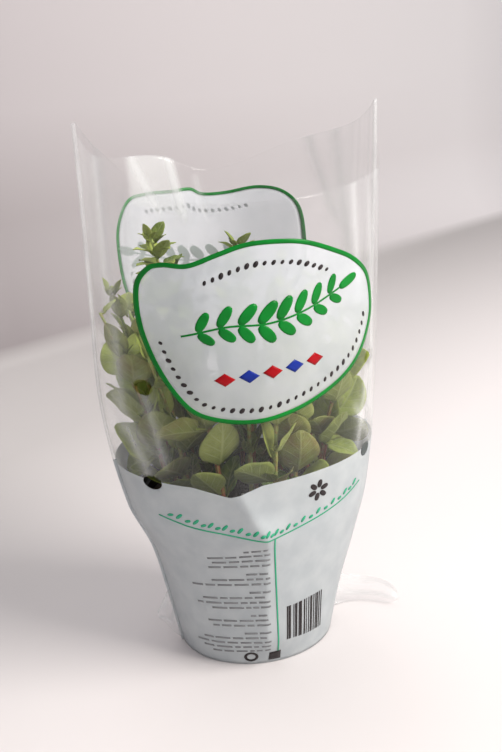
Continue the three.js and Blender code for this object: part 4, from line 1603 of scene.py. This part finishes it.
@dataclass
class FilmSleeve:
    """The sleeve's film: printed white below and clear above, with its seams and vents."""

    form: SleeveForm
    thickness: float = 0.24
    columns: int = 300
    band_rows: int = 56
    clear_rows: int = 78
    vent_radius: float = 4
    vents: tuple[Pair, ...] = ((-58.5, 171), (62, 171), (-58, 117), (60, 117))
    band_height: float = 118.5
    kink: Triple = (-23.5, 4.5, 17)
    seam_width: float = 1.7
    seam_rows: int = 150
    weld_doubling: float = 1.4
    streak_knots: int = 181
    crease_whitening_and_highlight_width: float = 1.6
    crease_whitening_and_highlight_gain: float = 1.6
    weld_spacing: float = 1.6
    ears: tuple[tuple[int, float, Table], ...] = (
        (
            1, 41.5,
            ((0, 1, 25, 0), (0.25, 0.8, 20, 2.5), (0.5, 0.8, 17, 1.5), (0.75, 0.8, 15.5, -4),
             (0.92, 1, 12, -9), (1, 3, 7.5, -10.5)),
        ),
        (-1, 11, ((0, 1, 36, 0), (0.35, 5, 31, -1), (0.7, 13, 26.5, -2.5), (1, 19.5, 22.5, -4))),
    )

    def band_top(self, x: Array, y: Array) -> Array:
        """Gives the height where the white print ends, dipping at the fold in front."""
        place, drop, width = self.kink
        dip = drop * np.clip(1 - np.abs(x - place) / width, 0, 1) * (y < 0)
        rise = 1.3 * smooth_step(0, 60, np.abs(x - place))
        return self.band_height - dip + rise - 1

    def haze(self, x: Array, y: Array, z: Array, turn: Array) -> Array:
        """Gives how milky the film is at each point: at folds, near the seams and in streaks. The milkiness
        at folds is partly stress whitening and partly painted highlight, and a patch on the back panel is
        painted highlight.
        """
        knots = np.random.default_rng(21).uniform(0, 1, (self.streak_knots, 2))
        places = np.arange(self.streak_knots)
        spot = (np.degrees(turn) % 360) / 2
        streak = np.interp(spot + 0.02 * z, places, knots[:, 0])
        broad = np.interp((spot * 0.31 + 0.05 * z) % places[-1], places, knots[:, 1])
        middle, half, *_ = self.form.oval(z)
        across = np.abs((x - middle) / half)
        by_seam = smooth_step(0.82, 0.98, across)
        haze = by_seam * (0.04 + 0.25 * streak**3) + 0.04 * broad**3
        # Folds are milky: partly stress whitening, partly painted highlight along the bright folds.
        for panel in Panel:
            for crease in self.form.creases(panel):
                seen = (y * panel.value > 0) * crease.share(x, z, self.crease_whitening_and_highlight_width)
                haze += seen * crease.haze * self.crease_whitening_and_highlight_gain
        # Painted highlight: a milky patch on the back panel, under the front panel's top edge, stands in
        # for a bright reflection there.
        painted_highlight_facet = smooth_step(-42, -36, x) * (1 - smooth_step(-11, -7, x + 0.16 * (z - 270)))
        painted_highlight_facet *= smooth_step(238, 246, z + 0.35 * (x + 12)) * (y > 0)
        haze += 0.55 * painted_highlight_facet
        return np.clip(haze, 0, 1)

    def sheet(self, film: Material, white: Material) -> Piece:
        """Makes the film as one sheet.

        Args:
            film: The clear film's material.
            white: The white print's material.

        Returns:
            The sheet before it has a thickness.
        """
        turn = turns(self.columns)
        rows = self.band_rows + self.clear_rows
        share = np.concatenate(
            [np.linspace(0.002, 1, self.band_rows), 1 + np.linspace(0, 1, self.clear_rows + 1)[1:]]
        )
        z = np.broadcast_to(self.form.top(turn), (rows, self.columns)).copy()
        top = self.form.top(turn)
        for _ in range(3):
            x, y = self.place(turn, z)
            edge = self.band_top(x, y)
            lower, upper = share[:, None] * edge, edge + (share[:, None] - 1) * (top - edge)
            z = np.where(share[:, None] <= 1, lower, upper)
        x, y = self.place(turn, z)
        points = abreast(x, self.folded(x, y, z), z).reshape(-1, 3)
        faces = grid_faces(rows, self.columns, closed=True)
        slots = [1 if k < (self.band_rows - 1) * self.columns else 0 for k in range(len(faces))]
        sheet = one_patch("film_sleeve", [film, white], points, faces, slots)
        set_haze_and_highlight(sheet, self.haze(*points.T, np.tile(turn, rows)))
        return sheet

    def place(self, turn: Array, z: Array) -> tuple[Array, Array]:
        """Gives x and y on the plain oval at each angle and height."""
        middle, half, front, back, point = self.form.oval(z)
        sine = np.sin(turn)
        depth = np.where(sine < 0, front, back)
        return middle + half * np.cos(turn), depth * np.sign(sine) * np.abs(sine) ** (2 * point)

    def punch(self, film: Material) -> Piece:
        """Makes the rods that the vents are punched with, through both panels."""
        rods = Draft()
        ring = circle(32, self.vent_radius)[:, [0, 2, 1]]
        for x, z in self.vents:
            add_rod(rods, ring, np.array([x, 120.0, z]), np.array([x, -120.0, z]))
        return rods.build("vent_punch", [film])

    def folded(self, x: Array, y: Array, z: Array) -> Array:
        """Adds the folds of the panel that each point lies on."""
        front = self.form.on_panel(Panel.FRONT, x, z)[..., 1]
        back = self.form.on_panel(Panel.BACK, x, z)[..., 1]
        return np.where(np.abs(y) < 1e-6, y, np.where(y < 0, front, back))

    def build(self) -> None:
        """Builds the sleeve, its two side seams and their weld marks."""
        film = ClearFilm("clear_polypropylene_film", 0.16).build()
        white = Ink("white_printed_film", 0.3, "#D8DDDF", "#CED4D7", 0.32, 0.92).build()
        sleeve = thickened(self.sheet(film, white), self.thickness)
        cut(sleeve, self.punch(film))
        sleeve.data.shade_smooth()
        fitted(sleeve, ("sleeve",))
        weld = self.weld_mark(film)
        for side, name in ((-1, "left"), (1, "right")):
            fitted(self.seam(side, f"film_seam_{name}", film, white))
            path = self.seam_path(side, f"seam_welds_{name}")
            marks = row_tree().run(
                path, Object=weld, Material=film, Spacing=self.weld_spacing * MM,
                Smallest=0.9, Largest=1.1, Seed=4,
            )
            fitted(marks)
        bpy.data.objects.remove(weld)
        for ear in self.ears:
            fitted(self.ear(*ear, film))

    def seam_line(self, side: int) -> tuple[Array, Array]:
        """Gives a seam's x and height from the hem to the mouth."""
        top = float(self.form.top(0.0 if side > 0 else math.pi))
        z = np.linspace(0.3, top - 0.2, self.seam_rows)
        middle, half, *_ = self.form.oval(z)
        return middle + side * half, z

    def seam(self, side: int, name: str, film: Material, white: Material) -> Piece:
        """Makes the narrow welded flange that stands out along a seam."""
        x, z = self.seam_line(side)
        sway = 0.35 * np.sin(z / 9) + 0.25 * np.sin(z / 3.7)
        reach = np.array([-0.3, 0.5, self.seam_width])
        px = x[:, None] + side * reach
        py = sway[:, None] * np.clip(reach / self.seam_width, 0, 1)
        points = abreast(px, py, z[:, None])
        faces = grid_faces(len(z), 3, flip=side > 0)
        slots = [1 if z[k // 2] < self.band_height else 0 for k in range(len(faces))]
        flange = one_patch(name, [film, white], points, faces, slots)
        set_haze_and_highlight(flange, 0.6)
        return thickened(flange, self.thickness * self.weld_doubling)

    def ear(self, side: int, reach: float, stations: Table, film: Material) -> Piece:
        """Makes a bottom corner of the sleeve, which stands out flat from the pot's foot.

        Args:
            side: The seam that it belongs to, -1 or 1.
            reach: How far it stands out.
            stations: The share of the reach, the lowest and highest point and y there.
            film: The film's material.

        Returns:
            The ear, closed.
        """
        rows, columns = 15, 36
        table = np.array(stations, float)
        share = np.linspace(0, 1, columns)
        low, high, bend = (along_stations(table[:, 0], table[:, k], share) for k in (1, 2, 3))
        rise = np.linspace(0, 1, rows)[:, None]
        z = low + (high - low) * rise
        middle, half, *_ = self.form.oval(z)
        x = middle + side * (half + reach * share)
        y = bend + share * (1.2 * np.sin(6 * rise + 3 * share) + 0.4 * np.sin(12 * share - 4 * rise))
        name = "film_ear_right" if side > 0 else "film_ear_left"
        faces = grid_faces(rows, columns, flip=side < 0)
        piece = one_patch(name, [film], abreast(x, y, z), faces)
        set_haze_and_highlight(piece, 0.2 + 0.5 * np.sin(6 * rise + 4 * share + np.sin(5 * share)) ** 4)
        return thickened(piece, self.thickness * self.weld_doubling)

    def seam_path(self, side: int, name: str) -> Piece:
        """Makes the line that a seam's weld marks are set along."""
        x, z = self.seam_line(side)
        points = abreast(x + side * 0.7, 0.0, z)
        return path_object(name, points, np.tile([0.0, -1.0, 0.0], (len(x), 1)))

    def weld_mark(self, film: Material) -> Piece:
        """Makes one crosswise weld mark, a low bar with sloped ends."""
        low = np.array([(-0.25, -0.8), (0.25, -0.8), (0.25, 0.8), (-0.25, 0.8)])
        rings = [np.c_[low * s, np.full(4, h)] for s, h in ((1.0, -0.3), (1.0, 0.18), (0.7, 0.3))]
        return one_patch("weld_source", [film], np.stack(rings), tube_faces(3, 4))


def path_object(name: str, points: Array, outward: Array) -> Piece:
    """Makes a line of edges whose points carry the direction "outward".

    Args:
        name: The object's name.
        points: The line's points in millimetres.
        outward: One direction a point.

    Returns:
        The new object.
    """
    mesh = bpy.data.meshes.new(name)
    mesh.from_pydata((points * MM).tolist(), [(i, i + 1) for i in range(len(points) - 1)], [])
    made = mesh.attributes.new("outward", "FLOAT_VECTOR", "POINT")
    made.data.foreach_set("vector", outward.astype(np.float32).ravel())
    return linked(name, mesh)


# ---------- the print


@dataclass
class FilmPrint:
    """The generic print on both panels: a framed label, a sprig, beads, rules and bars."""

    form: SleeveForm
    lift: float = 0.26
    step: float = 0.1
    thickness: float = 0.05
    border: float = 2.3
    front_label: tuple[Pair, ...] = (
        (-57.6, 223), (-52, 232.5), (-45, 234.9), (-35, 234.4), (-22, 239), (-8, 242.8),
        (8, 243), (22, 240.8), (38, 234.4), (50, 228), (60, 218), (63.6, 205), (63, 192),
        (55, 177), (42, 166.5), (24, 158.8), (6, 154.4), (-10, 152.6), (-26, 154.4),
        (-38, 159.4), (-47, 171), (-54, 187), (-58, 205),
    )
    back_label: tuple[Pair, ...] = (
        (-51.5, 232), (-47.5, 246), (-40, 254.5), (-28, 255.8), (-14, 255.4), (0, 255.4),
        (8, 251.5), (22, 251.2), (40, 253.6), (53, 250.6), (60.8, 241), (62.5, 224), (61, 205),
        (53, 187), (40, 174), (24, 166), (6, 162), (-12, 162.4), (-28, 168), (-42, 182), (-50, 206),
    )

    def plate(self, draft: Draft, panel: Panel, outline: Array, layer: int, rings: int = 3) -> None:
        """Adds one printed shape, laid onto the film.

        Args:
            draft: The ink's mesh so far.
            panel: The panel that it is printed on.
            outline: Its outline as x and height, seen from in front.
            layer: How many inks lie under it.
            rings: Rings of points from its edge to its middle.
        """
        centre, count = outline.mean(0), len(outline)
        shares = np.linspace(1, 0.02, rings + 1)[:, None, None]
        flat = centre + shares * (outline - centre)
        points = self.form.raised(panel, flat, self.lift + layer * self.step)
        x, z = outline.T
        clockwise = np.sum(x * np.roll(z, -1) - z * np.roll(x, -1)) < 0
        flip = clockwise == (panel is Panel.FRONT)
        faces = grid_faces(rings + 1, count, closed=True, flip=flip)
        core = [rings * count + k for k in range(count)]
        faces.append(core[::-1] if flip else core)
        draft.add(points, faces)

    def ribbon(
        self, draft: Draft, panel: Panel, line: Array, width: float, layer: int, closed: bool = False
    ) -> None:
        """Adds one printed line of even width along x and height points."""
        across = np.linspace(-0.5, 0.5, 3)[:, None, None] * width
        flat = line + across * leftward(line, closed)
        points = self.form.raised(panel, flat, self.lift + layer * self.step)
        faces = grid_faces(3, len(line), closed=closed, flip=panel is Panel.BACK)
        draft.add(points, faces)

    def finished(self, draft: Draft, name: str, ink: Material) -> None:
        """Gives a drafted ink its thickness and lets it ride on the part."""
        fitted(thickened(draft.build(name, [ink]), self.thickness))

    def label(self, panel: Panel) -> Array:
        """Gives a label's outline as a smooth closed curve."""
        points = self.front_label if panel is Panel.FRONT else self.back_label
        return smooth_loop(points, 168)

    def inset(self, outline: Array, inward: float) -> Array:
        """Draws an outline in by a distance along its own normals."""
        side = leftward(outline, True)
        side *= np.sign((side * (outline.mean(0) - outline)).sum(1, keepdims=True))
        return outline + inward * side

    def leaf_outline(self, start: Array, end: Array, width: float) -> Array:
        """Gives the outline of a plain printed leaf between its foot and its tip."""
        along = unit(end - start)
        side = np.array([-along[1], along[0]])
        t = np.linspace(0, math.pi, 9)
        share = (1 - np.cos(t)) / 2
        bulge = 0.5 * width * np.sin(t) ** 0.8
        edge = start + share[:, None] * (end - start)
        return np.concatenate([edge + bulge[:, None] * side, (edge - bulge[:, None] * side)[-2:0:-1]])

    def build(self) -> None:
        """Builds every ink on both panels."""
        inks = (
            ("print_label_ground", Ink("white_label_ink", 0.32, "#F4F7FB", "#EDF1F5", 0.56, 0.6)),
            ("print_green", Ink("green_ink", 0.3, "#067E2A", "#056E24")),
            ("print_red", Ink("red_ink", 0.3, "#A20512", "#92030E")),
            ("print_blue", Ink("blue_ink", 0.3, "#162E8C", "#12287A")),
        )
        dark = Ink("dark_ink", 0.35, "#2A2526", "#373132").build()
        grey = Ink("grey_ink", 0.45, "#77797B", "#8A8C8E").build()
        pale_green = Ink("green_rule_ink", 0.35, "#2F9A72", "#3BA57E").build()
        grounds, greens, reds, blues = (Draft() for _ in inks)
        for panel in Panel:
            outline = self.label(panel)
            self.plate(grounds, panel, self.inset(outline, self.border * 0.8), 0, 24)
            self.ribbon(greens, panel, self.inset(outline, self.border / 2), self.border, 1, True)
            middle = 8.0 if panel is Panel.BACK else 0.0
            self.add_sprig(greens, panel, middle)
            self.add_blocks(reds, blues, panel, middle)
            self.add_beads(panel, outline, dark)
        for draft, (name, ink) in zip((grounds, greens, reds, blues), inks):
            self.finished(draft, name, ink.build())
        self.add_band(grey, dark, pale_green)

    def add_sprig(self, greens: Draft, panel: Panel, rise: float) -> None:
        """Adds the leafy sprig in the label's middle."""
        flip = 1 if panel is Panel.FRONT else -1
        spine = smooth_line([(-40, 199), (-20, 203), (0, 203), (20, 207), (40, 214)], 60)
        spine = spine * [flip, 1] + [0, rise]
        self.ribbon(greens, panel, spine, 1.0, 1)
        for k, at in enumerate(np.linspace(5, 54, 8).astype(int)):
            foot = spine[at]
            heading = unit(spine[min(at + 2, 59)] - spine[max(at - 2, 0)])
            size = 13.5 - 0.9 * abs(k - 3.2)
            for side in (-1, 1):
                turned = heading * 0.72 + side * 0.82 * np.array([-heading[1], heading[0]])
                tip = foot + turned * size * (1.0 if side > 0 else 0.82)
                leaf = self.leaf_outline(foot + 0.7 * turned, tip, size * 0.44)
                self.plate(greens, panel, leaf, 1, 3)
        end = self.leaf_outline(spine[-1], spine[-1] + [flip * 11, 5], 5)
        self.plate(greens, panel, end, 1, 3)

    def straight_sided(self, corners: Path2D, steps: int) -> Array:
        """Gives the outline of a shape with straight sides, in a few steps a side."""
        starts = np.array(corners)
        shares = np.linspace(0, 1, steps + 1)[:-1, None]
        return np.concatenate([a + shares * (b - a) for a, b in zip(starts, np.roll(starts, -1, 0))])

    def add_blocks(self, reds: Draft, blues: Draft, panel: Panel, rise: float) -> None:
        """Adds the row of small lozenges under the sprig, red and blue in turn."""
        for k in range(5):
            x, z = -22 + 11.5 * k, 176.5 + 1.1 * k + rise
            lozenge = [(x - 5, z), (x, z - 3.4), (x + 5, z), (x, z + 3.4)]
            self.plate(blues if k % 2 else reds, panel, self.straight_sided(lozenge, 3), 1, 2)

    def add_beads(self, panel: Panel, outline: Array, ink: Material) -> None:
        """Sets a row of dark dashes along the label's foot and one under its top."""
        bead = self.dash(ink)
        inner = self.inset(outline, 7.2)
        middle, level = outline.mean(0)
        low = inner[inner[:, 1] < level - 6]
        order = np.argsort(np.arctan2(low[:, 1] - level, low[:, 0] - middle))
        top = self.inset(outline, 11)
        top = top[(top[:, 1] > level + 12) & (np.abs(top[:, 0] - 2) < 32)]
        arcs = (low[order], top[np.argsort(top[:, 0])])
        for name, arc, spacing in zip(("low", "top"), arcs, (4.6, 4.2)):
            x, z = arc[:, 0], arc[:, 1]
            points = self.form.raised(panel, arc, self.lift + self.step)
            path = path_object(
                f"print_beads_{name}_{panel.name.lower()}", points, self.form.outward(panel, x, z)
            )
            row_tree().run(
                path, Object=bead, Material=ink, Spacing=spacing * MM,
                Smallest=0.75, Largest=1.15, Seed=9 + panel.value,
            )
            fitted(path)
        bpy.data.objects.remove(bead)

    def dash(self, ink: Material) -> Piece:
        """Makes one printed dash, a flat slanted oval."""
        turn = turns(10)
        x, y = 1.15 * np.cos(turn) + 0.5 * np.sin(turn), 1.35 * np.sin(turn)
        rings = [abreast(x, y, height) for height in (-0.03, 0.03)]
        return one_patch("dash_source", [ink], np.stack(rings), tube_faces(2, 10))

    def add_band(self, grey: Material, dark: Material, green: Material) -> None:
        """Builds the print on the white band of both panels.

        Args:
            grey: The ink of the greyed lines.
            dark: The ink of the bars and small marks.
            green: The ink of the rules and the leaf chain.
        """
        greys, darks, greens = Draft(), Draft(), Draft()
        rule = smooth_line(
            [(-56, 97.5), (-40, 92.8), (-25.7, 90.1), (-10.6, 87.1), (1.1, 86.4), (20, 89.7),
             (39.7, 94.5), (55, 100)],
            90,
        )
        for panel in Panel:
            self.ribbon(greens, panel, rule, 0.8, 0)
            upright = np.linspace((-1.6, 85.6), (0.6, 9), 30)
            self.ribbon(greens, panel, upright, 0.9, 0)
            for k, at in enumerate(range(3, 86, 3)):
                foot = rule[at] + [0, 2.2]
                tip = foot + [2.6, 3.2 if k % 2 else 1.1]
                self.plate(greens, panel, self.leaf_outline(foot, tip, 1.7), 0, 1)
            self.add_lines(greys, panel)
            self.add_bars(darks, panel)
            self.add_marks(darks, panel)
            self.add_flower(darks, panel)
        self.finished(greens, "print_band_green", green)
        self.finished(greys, "print_band_grey", grey)
        self.finished(darks, "print_band_dark", dark)

    def add_lines(self, greys: Draft, panel: Panel) -> None:
        """Adds blocks of plain grey lines, ragged on the left, where small print would be."""
        rng = np.random.default_rng(31)
        z = 80.0
        for lines in (1, 3, 0, 1, 2, 0, 1, 3, 0, 1, 2, 0, 1, 4):
            if not lines:
                z -= 2.2
                continue
            for _ in range(lines):
                reach = rng.uniform(9, 14) if lines == 1 else rng.uniform(28, 43 - 0.12 * (80 - z))
                left = max(-4 - reach, -48 + 0.13 * (80 - z))
                line = abreast(np.linspace(left, -4, 24), z)
                line[:, 1] -= 0.0035 * (line[:, 0] + 4) ** 2 * 0.5 - 0.06 * (line[:, 0] + 4)
                self.words(greys, panel, line, rng)
                z -= 3.3

    def words(self, greys: Draft, panel: Panel, line: Array, rng: Rng) -> None:
        """Breaks a line into plain dashes of uneven length."""
        at = line[0, 0]
        while at < line[-1, 0] - 2:
            length = min(rng.uniform(2.2, 7.5), line[-1, 0] - at)
            x = np.linspace(at, at + length, 5)
            z = np.interp(x, line[:, 0], line[:, 1])
            self.ribbon(greys, panel, abreast(x, z), 1.15, 0)
            at += length + rng.uniform(0.9, 1.4)

    def add_bars(self, darks: Draft, panel: Panel) -> None:
        """Adds a plain block of upright rules of uneven width."""
        rng = np.random.default_rng(12)
        x = 6.0
        while x < 28.5:
            width = rng.choice([0.4, 0.6, 0.9, 1.3])
            z = np.linspace(16 - 0.1 * (x - 6), 39 + 0.05 * (x - 6), 10)
            self.ribbon(darks, panel, abreast(x, z), width, 0)
            x += width + rng.choice([0.5, 0.8, 1.1])

    def add_marks(self, darks: Draft, panel: Panel) -> None:
        """Adds a plain ring and a plain square near the hem."""
        ring = circle(24, 3)[:, :2] + [-14, 6]
        self.ribbon(darks, panel, ring, 1.5, 0, closed=True)
        square = self.straight_sided([(-4.5, 2.4), (2.3, 2.4), (2.3, 9), (-4.5, 9)], 4)
        self.plate(darks, panel, square, 0, 2)

    def add_flower(self, darks: Draft, panel: Panel) -> None:
        """Adds a small plain flower at the right of the band."""
        centre = np.array([25.0, 107.0])
        for k in range(6):
            angle = k * math.pi / 3 + 0.3
            aim = np.array([math.cos(angle), math.sin(angle)])
            petal = self.leaf_outline(centre + 1.5 * aim, centre + 6.2 * aim, 2.9)
            self.plate(darks, panel, petal, 0, 2)


# ---------- the studio


@dataclass
class Studio:
    """The camera, the soft lights and the pale sweep that the plant stands on."""

    camera_place: Triple = (-123.7, -523.0, 313.9)
    azimuth: float = math.radians(-13.33)
    yaw: float = math.radians(-0.88)
    pitch: float = math.radians(16.35)
    roll: float = math.radians(-4.28)
    focal_pixels: float = 997.7
    frame_height: float = 752
    sensor: float = 36
    sweep_front: float = -1500
    sweep_turn: float = 640
    sweep_radius: float = 160
    sweep_height: float = 2600
    sweep_half_width: float = 2600
    sweep_yaw: float = math.radians(32.1)

    def add_camera(self) -> None:
        """Sets the camera where its view has the sleeve's own perspective."""
        heading = self.azimuth + self.yaw
        level = -np.array([math.sin(heading), -math.cos(heading), 0.0])
        ahead = level * math.cos(self.pitch) - np.array([0, 0, math.sin(self.pitch)])
        right = unit(np.cross(ahead, [0, 0, 1.0]))
        up = np.cross(right, ahead)
        turned_right = right * math.cos(self.roll) + up * math.sin(self.roll)
        turned_up = up * math.cos(self.roll) - right * math.sin(self.roll)
        data = bpy.data.cameras.new("camera")
        data.sensor_fit = "VERTICAL"
        data.sensor_height = self.sensor
        data.lens = self.focal_pixels / self.frame_height * self.sensor
        data.clip_start, data.clip_end = 0.01, 30
        camera = linked("camera", data)
        stand(camera, (turned_right, turned_up, -ahead), self.camera_place)
        bpy.context.scene.camera = camera

    def add_sweep(self) -> None:
        """Adds the backdrop: a floor that curves up behind the plant."""
        turn = np.linspace(0, math.pi / 2, 24)
        depth = np.r_[self.sweep_front, 0, self.sweep_turn + self.sweep_radius * np.sin(turn)]
        z = np.r_[0, 0, self.sweep_radius * (1 - np.cos(turn)), self.sweep_height][:, None]
        depth = np.r_[depth, depth[-1]][:, None]
        side = np.linspace(-self.sweep_half_width, self.sweep_half_width, 7)
        x = side * math.cos(self.sweep_yaw) - depth * math.sin(self.sweep_yaw)
        y = side * math.sin(self.sweep_yaw) + depth * math.cos(self.sweep_yaw)
        paper = StudioPaper("backdrop_paper", 0.8).build()
        one_patch("studio_sweep", [paper], abreast(x, y, z), grid_faces(len(z), 7))

    def add_light(self, name: str, place: Triple, size: float, power: float, tint: str) -> None:
        """Adds one soft square light that faces the plant.

        Args:
            name: The light's name.
            place: Where it stands, in millimetres.
            size: Its side in millimetres.
            power: Its power in watts.
            tint: Its colour.
        """
        data = bpy.data.lights.new(name, "AREA")
        data.size = size * MM
        data.energy = power
        data.color = linear(tint)[:3]
        back = unit(np.array(place) - [0, 0, 150.0])
        side = unit(np.cross([0, 0, 1.0], back))
        stand(linked(name, data), (side, np.cross(back, side), back), place)

    def build(self) -> None:
        """Builds the camera, the sweep, the lights and the pale sky."""
        self.add_camera()
        self.add_sweep()
        self.add_light("window", (905, -760, 1073), 800, 29, "#FFFAF4")
        self.add_light("fill", (-700, -1100, 900), 1200, 0.8, "#F3F6FF")
        self.add_light("top", (-100, 550, 1300), 900, 6, "#FFFFFF")
        world = bpy.data.worlds.new("pale_sky")
        world.use_nodes = True
        sky = next(n for n in world.node_tree.nodes if n.type == "BACKGROUND")
        sky.inputs["Color"].default_value = linear("#EFEFF1")
        sky.inputs["Strength"].default_value = 0.57
        bpy.context.scene.world = world
        bpy.context.scene.view_settings.view_transform = "Standard"


def main() -> None:
    """Builds the studio and the plant, pot, compost, film and print, and logs the counts of stems, leaves
    and faces.
    """
    logging.basicConfig(level=logging.INFO, format="%(name)s: %(message)s")
    Studio().build()
    form = SleeveForm()
    layout = PlantLayout(form)
    layout.grow()
    LeafyStems(layout).build()
    pot = Pot()
    pot.build(MouldedPlastic("moulded_polypropylene", 0.45).build())
    Compost(pot).build()
    FilmSleeve(form).build()
    FilmPrint(form).build()


if __name__ == "__main__":
    main()
